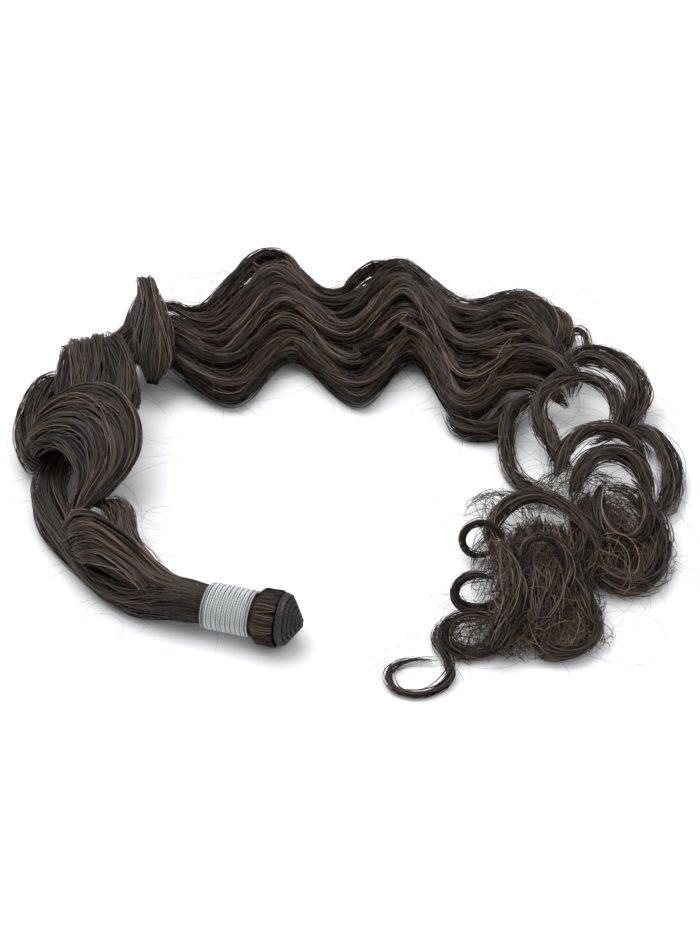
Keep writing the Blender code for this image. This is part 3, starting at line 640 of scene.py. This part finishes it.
def sampled(lock, where):
    """The lock's middle, half width and half depth at these distances along it."""
    inward = np.minimum(where if not lock.root else np.inf, lock.at[-1] - where)
    size = END_SIZE + (1 - END_SIZE) * ease(inward / (LOCK_END * lock.at[-1]))
    found = []
    for table in (lock.centres, lock.side, lock.top):
        found.append(np.stack([np.interp(where, lock.at, table[:, k]) for k in range(3)], axis=-1))
    centre, side, top = found
    return centre, side * size[..., None], top * size[..., None]


def around(lock, place):
    """The point of a lock's section at this share of its girth, in half widths and half depths."""
    x, y = section_point(np.interp(place % 1, lock.rim, lock.turns), lock.flat)
    return x[..., None], y[..., None]


def outward_of(side, top, x, y):
    wide = np.linalg.norm(side, axis=-1, keepdims=True)
    deep = np.linalg.norm(top, axis=-1, keepdims=True)
    return unit(side * x / wide**2 + top * y / deep**2)


def waver(rng, count, where, longest, shortest):
    """Smooth wandering between -1 and 1 for each strand along its length."""
    found = 0
    for share in (0.7, 0.3):
        wave = rng.uniform(shortest, longest, (count, 1))
        found = found + share * np.sin(2 * pi * (where / wave + rng.random((count, 1))))
    return found


def root_blend(where, points, normals, offsets):
    """Gathers the strands of a root lock into the ring that the tie squeezes them to."""
    gathered = unit(offsets @ np.stack([ACROSS, UP], axis=1))
    ring = gathered[..., :1] * ACROSS + gathered[..., 1:] * UP
    past = (where + ROOT_START)[..., None]
    radius = NECK_DIAMETER / 2 + 0.0008 * ease(past / 0.010)
    neck = TIE_END - ALONG * past + ring * radius
    blend = ease((where - 0.002) / ROOT_BLEND)[..., None]
    return neck * (1 - blend) + points * blend, unit(ring * (1 - blend) + normals * blend)


def bundles_of(rng, turn, where, length, width, count):
    """Which bundle each strand lies in, how far from its middle, and how that bundle strays and heaves."""
    number = np.floor(turn * count).astype(int) % count
    within = (turn * count) % 1 - 0.5
    grid = np.linspace(0, length, 33)
    waves = [waver(rng, count, grid[None, :], *lengths) for lengths in ((0.16, 0.07), (0.12, 0.05))]
    stray, heave = [
        np.stack([np.interp(row, grid, wave[k]) for row, k in zip(where, number)]) for wave in waves
    ]
    groove = width * (np.cos(2 * pi * within)[:, None] - 1) / 2
    return number, groove, stray, heave


def lock_strands(lock, layer, rng):
    """The strands of one layer over a lock, as ribbons with their tones."""
    length = lock.at[-1]
    cover = lock.cover * layer.cover * (1 + UNDERSIDE_COVER) / 2
    count = max(6, round(lock.girth * cover / layer.width))
    steps = max(6, round(length / (CURL_STEP if lock.curly else STRAND_STEP)))
    below = rng.random(count) < UNDERSIDE_COVER / (1 + UNDERSIDE_COVER)
    turn = (np.arange(count) + rng.random(count)) / count
    turn = np.where(below, 0.5 + 0.5 * turn, 0.5 * turn)
    uneven = 0.02 if lock.flat else 0.22
    begin = length * uneven * rng.random(count) ** 1.6
    end = length * (1 - (0.06 + uneven) * rng.random(count) ** 1.6)
    if lock.root:
        begin = np.full(count, -0.009)
    where = begin[:, None] + (end - begin)[:, None] * np.linspace(0, 1, steps + 1)
    small, groove, stray, heave = bundles_of(
        rng, turn, where, length, CLUMP_GROOVE, max(3, round(lock.girth / CLUMP_WIDTH))
    )
    large, valley, drift, swell = bundles_of(
        rng, turn, where, length, TRESS_GROOVE, max(2, round(lock.girth / TRESS_WIDTH))
    )
    own = waver(rng, count, where, 0.09, 0.03)
    moved = turn[:, None] + (CLUMP_STRAY * stray + TRESS_STRAY * drift + layer.stray * own) / lock.girth
    centre, side, top = sampled(lock, where)
    x, y = around(lock, moved)
    normals = outward_of(side, top, x, y)
    near_end = 1 - ease(np.minimum(where, length - where) / (0.2 * length))
    rough = layer.stray * (1 + 1.5 * near_end) * waver(rng, count, where, 0.10, 0.03)
    lift = layer.lift * rng.uniform(0.2, 1.6, count)[:, None] + groove + valley + CLUMP_HEAVE * heave
    lift = lift + TRESS_HEAVE * swell + 0.6 * rough
    spread = rng.uniform(-0.8, 0.4, (count, 1)) + 0.35 * waver(rng, count, where, 0.06, 0.02)
    spread = 1 + lock.loose * spread
    sideways = lock.loose * 0.6 * waver(rng, count, where, 0.12, 0.05)
    offset = (side * x + top * y) * spread[..., None] + side * sideways[..., None]
    points = part_hair(centre + offset + normals * lift[..., None], rng)
    narrow = np.ones_like(where)
    if lock.root:
        points, normals = root_blend(where, points, normals, offset)
        narrow = 0.55 + 0.45 * ease(where / 0.035)
    low, high = layer.tone
    # Random tone within the layer's range, moved by the lock's tone shift, which holds painted shade on the
    # waved sheet.
    tone = low + (high - low) * rng.random(count) ** 1.8 + lock.shade
    tone += 0.16 * (rng.random(small.max() + 1)[small] - 0.5)
    tone += 0.22 * (rng.random(large.max() + 1)[large] - 0.5)
    # Strands deep in the grooves between bundles and tresses get darker tones: painted shade between them.
    tone += 0.10 + 0.16 * (groove / CLUMP_GROOVE + valley / TRESS_GROOVE)[:, 0]
    roll = layer.roll * rng.uniform(-1, 1, count)
    return ribbon(points, normals, layer.width, np.clip(tone, 0, 1), roll=roll, narrow=narrow)


def part_hair(points, rng=None):
    """Presses strands, or a whole core where rng is None, aside where the floor shows between them."""
    for across, away, far_across, far_away, bow, half in PARTINGS:
        start = SHIFT[:2] + LAY * np.array([across, away])
        span = LAY * np.array([far_across - across, far_away - away])
        reach = np.linalg.norm(span)
        way = span / reach
        normal = np.array([-way[1], way[0]])
        share = ((points[..., :2] - start) @ way) / reach
        bulge = np.clip(4 * share * (1 - share), 0, 1)
        away_from = (points[..., :2] - start) @ normal - bow * LAY * bulge
        near = (share > 0) & (share < 1) & (np.abs(away_from) < 3 * half * LAY)
        hit = near.any(axis=1)
        if not hit.any():
            continue
        total = np.where(near, away_from, 0).sum(axis=1)
        clear = half * LAY * np.sqrt(bulge)
        if rng is None:
            hand = -1 if total.sum() < 0 else 1
            hit[:] = True
            clear = clear + CORE_MARGIN
        else:
            hand = np.where(total < 0, -1, 1)[:, None]
            clear = clear * rng.uniform(0.8, 1.8, (len(points), 1))
        toward = away_from * hand
        pressed = (toward + clear + np.sqrt((toward - clear) ** 2 + 1e-7)) / 2
        wanted = np.where((bulge > 0) & (toward > -4 * half * LAY), pressed - toward, 0) * hand
        points = points + np.where(hit[:, None], wanted, 0)[..., None] * np.append(normal, 0)
    return points


def ribbon(points, normals, width, tone, sides=0, roll=None, narrow=1.0):
    """Strands as ridged ribbons, as flat ribbons rolled about themselves, or as closed threads."""
    along = unit(np.gradient(points, axis=1))
    across = unit(np.cross(along, normals))
    out = np.cross(across, along)
    share = np.linspace(0, 1, points.shape[1])
    thin = 0.3 + 0.7 * ease(np.minimum(share, 1 - share) / 0.12)
    if sides:
        thin = np.where((share == 0) | (share == 1), 0.02, thin)
    half = ((thin * narrow) * width / 2)[..., None]
    shape = ((-1, 0), (0, 0.8), (1, 0))
    if roll is not None and roll.any():
        roll = roll[:, None, None]
        across, out = across * np.cos(roll) + out * np.sin(roll), out * np.cos(roll) - across * np.sin(roll)
        shape = ((-1, 0), (1, 0))
    if sides:
        angles = 2 * pi * np.arange(sides) / sides
        shape = np.column_stack([np.cos(angles), np.sin(angles)])
    grid = np.stack([points + half * (x * across + y * out) for x, y in shape], axis=2)
    grid[..., 2] = np.maximum(grid[..., 2], FLOOR_GAP)
    length = np.concatenate([[0], np.cumsum(np.linalg.norm(np.diff(points, axis=1), axis=2).mean(0))])
    return SimpleNamespace(grid=grid, tone=tone, length=length, closed=bool(sides))


def grid_faces(strands, steps, columns, closed):
    """The corners of each face of strands that are steps by columns of points."""
    number = np.arange(strands * steps * columns).reshape(strands, steps, columns)
    faces = []
    for k in range(columns if closed else columns - 1):
        after = (k + 1) % columns
        one = number[:, :-1, k]
        two = number[:, 1:, k]
        three = number[:, 1:, after]
        four = number[:, :-1, after]
        faces.append(np.stack([one, four, three, two], axis=-1).reshape(-1, 4))
    return np.concatenate(faces)


def add_float(mesh, name, values):
    layer = mesh.attributes.new(name, "FLOAT", "POINT")
    layer.data.foreach_set("value", np.ascontiguousarray(values, np.float32))


def grid_piece(name, bundles, material):
    """One mesh from bundles of strands, each with its tone and its place along and across itself."""
    points = np.concatenate([bundle.grid.reshape(-1, 3) for bundle in bundles])
    faces = []
    values = {"tone": [], "along": [], "across": []}
    base = 0
    for bundle in bundles:
        shape = bundle.grid.shape[:3]
        faces.append(grid_faces(*shape, bundle.closed) + base)
        base += shape[0] * shape[1] * shape[2]
        columns = (bundle.tone[:, None, None], bundle.length[:, None], np.linspace(0, 1, shape[2]))
        for found, column in zip(values.values(), columns):
            found.append(np.broadcast_to(column, shape).ravel())
    faces = np.concatenate(faces)
    mesh = bpy.data.meshes.new(name)
    mesh.vertices.add(len(points))
    mesh.vertices.foreach_set("co", points.astype(np.float32).ravel())
    mesh.loops.add(faces.size)
    mesh.loops.foreach_set("vertex_index", faces.astype(np.int32).ravel())
    mesh.polygons.add(len(faces))
    mesh.polygons.foreach_set("loop_start", np.arange(0, faces.size, 4, dtype=np.int32))
    mesh.polygons.foreach_set("use_smooth", np.ones(len(faces), bool))
    mesh.update(calc_edges=True)
    mesh.validate()
    for key, found in values.items():
        add_float(mesh, key, np.concatenate(found))
    mesh.materials.append(material)
    piece = bpy.data.objects.new(name, mesh)
    bpy.context.scene.collection.objects.link(piece)
    return piece


def closed_tube(grid, tone, length):
    """A tube through rings of points, drawn together to a point at both ends."""
    ends = [grid[:1].mean(axis=1, keepdims=True), grid[-1:].mean(axis=1, keepdims=True)]
    first, last = [np.repeat(end, grid.shape[1], axis=1) for end in ends]
    grid = np.concatenate([first, grid, last])
    lengths = np.linspace(0, length, len(grid))
    return SimpleNamespace(grid=grid[None], tone=np.array([tone]), length=lengths, closed=True)


def lock_cores(lock):
    """The inside of a lock under its strands, near black as painted shade, in tubes side by side where the
    lock is wide.
    """
    sides = 10 if lock.flat else 12
    tubes = max(1, round(2 * lock.wide / CORE_BREADTH)) if lock.flat else 1
    reach = 0.88 if not (lock.flat or lock.root) else 1.0
    steps = max(8, round(lock.at[-1] / (0.0025 if lock.curly else 0.0035)))
    where = np.linspace((1 - reach) * lock.at[-1], reach * lock.at[-1], steps + 1)
    centre, side, top = sampled(lock, where)
    least = (0.45 if not lock.curly else 0.30) * (1 - 0.6 * lock.loose)
    across = max(least, 1 - CORE_DEPTH / lock.wide)
    high = max(least, 1 - CORE_DEPTH / lock.deep)
    angle = 2 * pi * np.arange(sides) / sides
    found = []
    for number in range(tubes):
        middle = across * ((2 * number + 1) / tubes - 1)
        half = across * (1.15 if tubes > 1 else 1.0) / tubes
        x = middle + half * np.cos(angle)
        edge = np.sqrt(np.clip(1.15 - middle**2, 0.2, 1))
        y = high * edge * np.sin(angle)
        grid = centre[:, None] + side[:, None] * x[:, None] + top[:, None] * y[:, None]
        grid = part_hair(grid.transpose(1, 0, 2)).transpose(1, 0, 2)
        grid[..., 2] = np.maximum(grid[..., 2], FLOOR_GAP * 2)
        found.append(closed_tube(grid, 0.0, lock.at[-1]))
    return found


def hair_piece(name, locks, seed):
    """Every strand of some locks as one mesh."""
    rng = np.random.default_rng(seed)
    return grid_piece(name, [lock_strands(lock, layer, rng) for lock in locks for layer in LAYERS], HAIR)


def weft_pitch():
    return WEFT_THICKNESS + PIECE_GAP


def outer_turn():
    return (ROLL_DIAMETER - WEFT_THICKNESS) / 2


def round_roll(angle):
    """Directions outward from the roll's axis at these angles."""
    return np.cos(angle)[..., None] * ACROSS + np.sin(angle)[..., None] * UP


def stub_radius(past):
    """The stub's radius this far behind the tie."""
    neck = NECK_DIAMETER / 2
    swell = ease((past + 0.0012) / (0.36 * STUB_LENGTH))
    tuck = 0.5 * ease((past - 0.9 * STUB_LENGTH) / (0.15 * STUB_LENGTH))
    return neck + (STUB_DIAMETER / 2 - neck) * swell - (STUB_DIAMETER / 2 - outer_turn()) * tuck


def stub_piece():
    """The hair between the tie and the weft, gathered into small tufts where it is sewn in."""
    rng = np.random.default_rng(41)
    bundles = []
    tie = MIDDLE + ALONG * tie_length() / 2
    for layer in LAYERS:
        count = round(2 * pi * STUB_DIAMETER / 2 * layer.cover * 1.5 / layer.width)
        turn = (np.arange(count) + rng.random(count)) / count
        share = np.linspace(0, 1, STUB_STEPS)
        past = (-0.0025 + (STUB_LENGTH + 0.0030) * share)[None, :]
        tuft = np.floor(turn * STUB_TUFTS)
        within = (turn * STUB_TUFTS - tuft - 0.5)[:, None]
        closing = 0.45 * ease((past - 0.5 * STUB_LENGTH) / (0.55 * STUB_LENGTH))
        stray = 0.10 * waver(rng, count, past, 0.03, 0.012)
        lean = 0.5 * waver(rng, STUB_TUFTS, past, 0.05, 0.02)[tuft.astype(int)]
        place = (tuft[:, None] + 0.5 + within * (1 - closing) + stray + lean * share) / STUB_TUFTS
        ring = round_roll(2 * pi * place)
        rounded = 0.0008 * closing * np.cos(pi * within)
        radius = stub_radius(past) + rounded + layer.lift * 0.7 + 0.0003 * stray
        points = tie + ALONG * past[..., None] + ring * radius[..., None]
        low, high = layer.tone
        tone = low + (high - low) * rng.random(count) ** 1.8
        roll = layer.roll * rng.uniform(-1, 1, count)
        bundles.append(ribbon(points, ring, 0.8 * layer.width, np.clip(tone, 0, 1), roll=roll))
    return grid_piece("stub_hair", bundles, HAIR)


def stub_core():
    """The inside of the neck and the stub, near black as painted shade, from inside the root locks to
    behind the weft.
    """
    past = np.linspace(-tie_length() - 0.014, STUB_LENGTH, 40)
    tie = MIDDLE + ALONG * tie_length() / 2
    radius = np.where(past > -0.001, stub_radius(past) - 0.0018, NECK_DIAMETER / 2 - 0.0004)
    radius = np.where(past < -tie_length() - 0.004, NECK_DIAMETER / 2 - 0.0025, radius)
    radius[[0, -1]] = 0.0001
    ring = round_roll(2 * pi * np.arange(28) / 28)
    grid = (tie + ALONG * past[:, None])[:, None] + radius[:, None, None] * ring
    return SimpleNamespace(grid=grid[None], tone=np.array([0.0]), length=past + 0.1, closed=True)


def tie_piece():
    """A silver cord of two plied threads side by side, one twisted each way, wound round the neck."""
    radius = (NECK_DIAMETER + CORD_DIAMETER) / 2 + PIECE_GAP
    length = 2 * pi * radius * CORD_TURNS
    travel = np.linspace(0, length, round(length / CORD_STEP) + 1)
    angle = travel / radius
    out = -np.sin(angle)[:, None] * ACROSS - np.cos(angle)[:, None] * UP
    pitch = CORD_DIAMETER + PIECE_GAP
    middle = MIDDLE + ALONG * (pitch * (angle / (2 * pi) - CORD_TURNS / 2))[:, None]
    threads = []
    for side in (-1, 1):
        for ply in (0, 1):
            twist = side * 2 * pi * travel / PLY_LAY + pi * ply
            place = side * pitch / 4 + PLY_ORBIT * np.sin(twist)
            height = radius + PLY_ORBIT * np.cos(twist)
            threads.append(middle + ALONG * place[:, None] + out * height[:, None])
    points = np.array(threads)
    normals = np.broadcast_to(out, points.shape)
    bundle = ribbon(points, normals, PLY_DIAMETER, np.array([0.2, 0.4, 0.6, 0.8]), sides=4)
    return grid_piece("silver_tie", [bundle], SILVER)


def weft_spiral(step, past, lift, turns):
    """Points along the rolled weft, past its front edge and lifted off the middle of its thickness."""
    turn = np.linspace(0, turns, max(8, round(turns * 2 * pi * outer_turn() * 0.6 / step)) + 1)
    angle = 2 * pi * turn
    out = np.sin(angle)[:, None] * ACROSS - np.cos(angle)[:, None] * UP
    radius = outer_turn() - weft_pitch() * turn + lift
    place = tie_length() / 2 + STUB_LENGTH + WEFT_HEIGHT / 2 + TURN_STEP * turn + past
    points = MIDDLE + ALONG * place[:, None] + out * radius[:, None]
    return points, out


def plied(points, out, thread):
    """Two plies wound round each other along a line."""
    steps = np.linalg.norm(np.diff(points, axis=0), axis=1)
    travel = np.concatenate([[0], np.cumsum(steps)])
    side = unit(np.cross(np.gradient(points, axis=0), out))
    threads = []
    for ply in (0, 1):
        twist = thread.hand * 2 * pi * travel / thread.lay + pi * ply
        way = np.sin(twist)[:, None] * side + np.cos(twist)[:, None] * out
        threads.append(points + thread.orbit * way)
    threads = np.array(threads)
    tones = np.array([thread.tone, thread.tone + 0.2])
    return ribbon(threads, np.broadcast_to(out, threads.shape), thread.width, tones, sides=6)


def weft_piece():
    """The band itself, the thick sewn edge of every turn, and a second row on the outermost turn."""
    turns = (outer_turn() - ROLL_EYE / 2) / weft_pitch()
    points, out = weft_spiral(0.0012, 0, 0, turns)
    section = np.array([(-0.5, -0.42), (-0.42, -0.5), (0.42, -0.5), (0.5, -0.42)])
    section = np.vstack([section, -section])
    grid = points[:, None] + (
        section[None, :, :1] * WEFT_THICKNESS * out[:, None] + section[None, :, 1:] * WEFT_HEIGHT * ALONG
    )
    band = closed_tube(grid, 0.1, 0.25)
    edge = plied(*weft_spiral(WEFT_STEP, WEFT_HEIGHT * 0.36, 0, turns - 0.15), SEWN_EDGE)
    row = plied(*weft_spiral(WEFT_STEP, -WEFT_HEIGHT * 0.12, WEFT_THICKNESS * 0.36, 1.04), SEWN_ROW)
    return grid_piece("rolled_weft", [band, edge, row], THREAD)


def level_paths(angle, length):
    """Level lines of these lengths, from their headings step by step."""
    stride = (length / (angle.shape[1] - 1))[:, None, None]
    return np.cumsum(np.stack([np.cos(angle), np.sin(angle)], axis=-1) * stride, axis=1)


def tangle_piece():
    """Fine hairs that cross each other in mounds over the hanging locks."""
    rng = np.random.default_rng(59)
    share = np.linspace(-0.5, 0.5, TANGLE_STEPS)
    strands = []
    for across, away, reach_across, reach_away, rim, middle, heading, fan_out, count in TANGLES:
        spot = np.sqrt(rng.random(count))
        turn = rng.uniform(0, 2 * pi, count)
        reach = LAY * np.array([reach_across, reach_away])
        here = np.stack([spot * np.cos(turn), spot * np.sin(turn)], axis=-1) * reach
        length = rng.uniform(0.020, 0.065, count)
        bend = rng.choice([-1, 1], count) / rng.uniform(0.010, 0.035, count)
        angle = np.radians(heading + fan_out * rng.normal(0, 0.6, count))[:, None]
        angle = angle + (bend * length)[:, None] * share
        angle = angle + 0.25 * waver(rng, count, share[None, :] * 0.04, 0.06, 0.03)
        path = level_paths(angle, length)
        path = path - path[:, [TANGLE_STEPS // 2]] + here[:, None]
        outside = np.linalg.norm(path / reach, axis=-1)
        path = path * np.where(outside > 1, (1 + 0.35 * np.tanh(2 * (outside - 1))) / outside, 1)[..., None]
        outside = np.linalg.norm(path / reach, axis=-1)
        dome = rim + (middle - rim) * np.clip(1 - outside**2, -0.4, 1)
        heave = 0.0012 * waver(rng, count, share[None, :], 0.9, 0.4)
        height = LAY * dome + rng.uniform(-0.0025, 0.0012, (count, 1)) + heave
        ground = SHIFT[:2] + LAY * np.array([across, away]) + path
        strands.append(np.concatenate([ground, height[..., None]], axis=-1))
    points = np.concatenate(strands)
    tone = 0.10 + 0.90 * rng.random(len(points)) ** 1.5
    roll = rng.uniform(-1, 1, len(points))
    hairs = ribbon(points, np.broadcast_to(UP, points.shape), TANGLE_WIDTH, tone, roll=roll)
    return grid_piece("tangled_hairs", [hairs], HAIR)


def loose_hairs(locks):
    """Single hairs that have come away from the locks and lie in wide arcs."""
    rng = np.random.default_rng(77)
    share = np.linspace(0, 1, LOOSE_STEPS)
    whole = sum(lock.at[-1] for lock in locks)
    strands = []
    for lock in locks:
        count = round(LOOSE_COUNT * lock.at[-1] / whole)
        begin = rng.uniform(0.05, 0.95, count) * lock.at[-1]
        turn = rng.uniform(0.02, 0.48, count)[:, None]
        where = np.stack([begin, begin + 0.002], axis=1)
        centre, side, top = sampled(lock, where)
        x, y = around(lock, turn)
        surface = centre + side * x + top * y
        way = unit(surface[:, 1] - surface[:, 0])
        normals = outward_of(side, top, x, y)[:, 0]
        leave = unit(way * rng.choice([-1, 1], count)[:, None] + 0.5 * normals * rng.random((count, 1)))
        heading = np.arctan2(leave[:, 1], leave[:, 0])
        length = rng.uniform(0.02, 0.08 if lock.curly else 0.13, count)
        bend = rng.choice([-1, 1], count) * rng.uniform(*((30, 90) if lock.curly else (8, 55)), count)
        angle = heading[:, None] + (bend * length)[:, None] * (share + 0.4 * share**2)
        height = surface[:, 0, 2:3] + rng.uniform(-0.002, 0.008, (count, 1)) * np.sin(pi * share)
        height = height * (1 - rng.random((count, 1)) * share**2)
        ground = surface[:, 0, None, :2] + level_paths(angle, length)
        strands.append(np.concatenate([ground, height[..., None]], axis=-1))
    points = np.concatenate(strands)
    low = np.array(CAD_BOX[0]) - LOOSE_REACH
    high = np.array(CAD_BOX[1]) + LOOSE_REACH
    points = points[((points[..., :2] > low[:2]) & (points[..., :2] < high[:2])).all(axis=(1, 2))]
    tone = rng.uniform(0.2, 0.9, len(points))
    hairs = ribbon(points, np.broadcast_to(UP, points.shape), LOOSE_WIDTH, tone, sides=3)
    return grid_piece("loose_hairs", [hairs], HAIR)


def node(tree, kind, **values):
    made = tree.nodes.new(kind)
    for key, value in values.items():
        setattr(made, key, value)
    return made


def attribute(tree, name):
    return node(tree, "ShaderNodeAttribute", attribute_name=name).outputs["Fac"]


def math(tree, operation, one, two):
    made = node(tree, "ShaderNodeMath", operation=operation)
    for socket, value in zip(made.inputs, (one, two)):
        if isinstance(value, (int, float)):
            socket.default_value = value
        else:
            tree.links.new(value, socket)
    return made.outputs[0]


def paint(tree, shader, factor, stops):
    """Colours the surface through these stops of the factor."""
    made = node(tree, "ShaderNodeValToRGB")
    elements = made.color_ramp.elements
    while len(elements) < len(stops):
        elements.new(0.5)
    for element, (place, colour) in zip(elements, stops):
        element.position = place
        element.color = (*colour, 1)
    tree.links.new(factor, made.inputs["Fac"])
    tree.links.new(made.outputs["Color"], shader.inputs["Base Color"])


def new_material(name, **finish):
    """A material with its node tree and its shader, whose plain values are set here."""
    material = bpy.data.materials.new(name)
    material.use_nodes = True
    tree = material.node_tree
    shader = tree.nodes["Principled BSDF"]
    for key, value in finish.items():
        shader.inputs[key.replace("_", " ").title().replace("Ior", "IOR")].default_value = value
    return material, tree, shader


def streaks(tree, across, tone, along, detail=2.0):
    """Noise with this many spots over a strand, from its darkest to its palest tone and for each metre."""
    spot = node(tree, "ShaderNodeCombineXYZ")
    for name, axis, scale in (("across", "X", across), ("tone", "Y", tone), ("along", "Z", along)):
        tree.links.new(math(tree, "MULTIPLY", attribute(tree, name), scale), spot.inputs[axis])
    noise = node(tree, "ShaderNodeTexNoise")
    noise.inputs["Scale"].default_value = 1.0
    noise.inputs["Detail"].default_value = detail
    tree.links.new(spot.outputs[0], noise.inputs["Vector"])
    return noise.outputs["Fac"]


def raise_surface(tree, shader, height, strength, distance):
    bump = node(tree, "ShaderNodeBump")
    bump.inputs["Strength"].default_value = strength
    bump.inputs["Distance"].default_value = distance
    tree.links.new(height, bump.inputs["Height"])
    tree.links.new(bump.outputs[0], shader.inputs["Normal"])


def hair_material():
    """Each strand's tone, with painted shade in the grooves between bundles, in the lower layers and on the
    waved sheet, and finer streaks along it.
    """
    material, tree, shader = new_material("hair_fibre", roughness=0.40, specular_ior_level=0.24)
    streak = streaks(tree, 4.0, 190.0, 60.0)
    change = math(tree, "MULTIPLY", math(tree, "SUBTRACT", streak, 0.5), 0.45)
    tone = math(tree, "ADD", attribute(tree, "tone"), change)
    stops = (
        (0.00, (0.0060, 0.0040, 0.0032)),
        (0.25, (0.0210, 0.0130, 0.0095)),
        (0.60, (0.0680, 0.0410, 0.0280)),
        (1.00, (0.2300, 0.1350, 0.0850)),
    )
    paint(tree, shader, tone, stops)
    raise_surface(tree, shader, streak, 0.35, 0.0002)
    return material


def painted_shade_material():
    """Painted shade for the depth under the strands: near black, with streaks that run along the lock."""
    material, tree, shader = new_material("hair_painted_shade", roughness=0.6, specular_ior_level=0.15)
    stops = ((0.35, (0.0010, 0.0008, 0.0007)), (0.75, (0.010, 0.0075, 0.0065)))
    paint(tree, shader, streaks(tree, 46.0, 0.0, 30.0), stops)
    return material


def silver_material():
    """Bright metallic thread with fine filaments and darker specks."""
    material, tree, shader = new_material("silver_thread", roughness=0.34, metallic=0.45)
    speck = streaks(tree, 9.0, 50.0, 2600.0, detail=3.0)
    stops = (
        (0.30, (0.10, 0.105, 0.11)),
        (0.42, (0.62, 0.64, 0.65)),
        (0.60, (0.86, 0.88, 0.88)),
        (0.80, (0.97, 0.98, 0.98)),
    )
    paint(tree, shader, speck, stops)
    raise_surface(tree, shader, speck, 0.5, 0.0001)
    return material


def thread_material():
    """Matt black sewing thread with fine filaments."""
    material, tree, shader = new_material("black_thread", roughness=0.5)
    speck = streaks(tree, 14.0, 50.0, 900.0)
    stops = ((0.35, (0.003, 0.003, 0.0035)), (0.60, (0.018, 0.019, 0.020)), (0.80, (0.070, 0.072, 0.074)))
    paint(tree, shader, speck, stops)
    raise_surface(tree, shader, speck, 0.6, 0.0002)
    return material


def stage():
    bpy.ops.mesh.primitive_plane_add(size=6.0, location=(0, 0, 0))
    floor = bpy.context.object
    floor.name = "floor"
    material, _, shader = new_material("pale_floor", roughness=0.8, specular_ior_level=0.2)
    shader.inputs["Base Color"].default_value = (0.93, 0.935, 0.94, 1)
    floor.data.materials.append(material)


def area_light(name, place, size, power):
    light = bpy.data.lights.new(name, "AREA")
    light.energy = power
    light.size = size
    made = bpy.data.objects.new(name, light)
    bpy.context.scene.collection.objects.link(made)
    made.location = place
    made.rotation_euler = Vector([-value for value in place]).to_track_quat("-Z", "Y").to_euler()


def light_up():
    world = bpy.data.worlds.new("studio")
    bpy.context.scene.world = world
    world.use_nodes = True
    sky = world.node_tree.nodes["Background"].inputs
    sky["Color"].default_value = (0.97, 0.985, 1.0, 1)
    sky["Strength"].default_value = 0.55
    area_light("key", (-0.5, 0.5, 1.5), 1.6, 26)
    area_light("fill", (0.8, -0.6, 1.5), 1.6, 8)


def place_camera():
    camera = bpy.data.objects.new("camera", bpy.data.cameras.new("camera"))
    bpy.context.scene.collection.objects.link(camera)
    camera.data.lens = CAMERA_LENS
    camera.data.sensor_width = 36
    camera.data.clip_start = 0.01
    back = CAMERA_DISTANCE * cos(CAMERA_ELEVATION)
    camera.location = (SHIFT[0], SHIFT[1] - back, CAMERA_DISTANCE * sin(CAMERA_ELEVATION))
    camera.rotation_euler = (pi / 2 - CAMERA_ELEVATION, 0, 0)
    bpy.context.scene.camera = camera
    bpy.context.scene.view_settings.view_transform = "Standard"


HAIR = hair_material()
PAINTED_SHADE = painted_shade_material()
SILVER = silver_material()
THREAD = thread_material()
sheet = [sheet_layer(*row) for row in SHEET_LAYERS]
tresses = [tress(*row) for row in TRESSES]
curls = [curl(row) for row in CURLS]
shoulders = (CREST_OUTER, CREST_INNER, RIGHT_DROP, RIGHT_TUFT, RIGHT_SHOULDER, MIDDLE_SWELL)
lobes = (LOBE_SWELL, LOBE_TAIL, LEFT_HOOK, INNER_HOOK, RIGHT_HOOK)
crowns = (CROWN_UPPER, CROWN_LOWER, FRONT_ARCH, RINGLET_BED)
falls = (FALL_LEFT, FALL_NEAR_LEFT, FALL_MIDDLE, FALL_NEAR_RIGHT, FALL_RIGHT, FRONT_HOOK)
GROUPS = (
    ("root_hair", [fan(ROOT_FAN, root=True), rope(ROOT_SWEEP, root=True), rope(ROOT_BACK, root=True)]),
    ("folded_hair", [fold(rows) for rows in (LOWER_FOLD, UPPER_FOLD, TALL_FOLD)]),
    ("left_hair", [rope(UNDER_FOLDS, loose=0.1), rope(LEFT_LOOP, loose=0.1)]),
    ("low_waves", sheet[:2]),
    ("high_waves", sheet[2:]),
    ("wave_tresses", tresses),
    ("shoulder_hair", [rope(rows, loose=0.2) for rows in shoulders]),
    ("lobe_hair", [rope(rows, loose=0.25) for rows in lobes] + curls[:1]),
    ("crown_hair", [rope(rows, loose=0.35) for rows in crowns] + curls[1:3]),
    ("hanging_hair", [rope(rows, loose=0.6) for rows in falls] + curls[3:4]),
    ("tip_curls", curls[4:] + [rope(TIP_WISP, curly=True, loose=0.7)]),
)


def main():
    stage()
    light_up()
    place_camera()
    locks = [lock for name, group in GROUPS for lock in group]
    shown = [hair_piece(name, group, seed + 1) for seed, (name, group) in enumerate(GROUPS)]
    shown += [stub_piece(), tangle_piece(), loose_hairs(locks)]
    # Near-black tubes inside every lock and the stub: painted shade under the strands.
    cores = [core for lock in locks for core in lock_cores(lock)]
    shade_core_piece = grid_piece("hair_painted_shade", [*cores, stub_core()], PAINTED_SHADE)
    shown.append(shade_core_piece)
    for piece in shown:
        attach(piece, "root")
    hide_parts("hair")
    tie = tie_piece()
    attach(tie, "root")
    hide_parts("tie_cord")
    weft = weft_piece()
    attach(weft, "root")
    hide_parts("weft_band")


main()
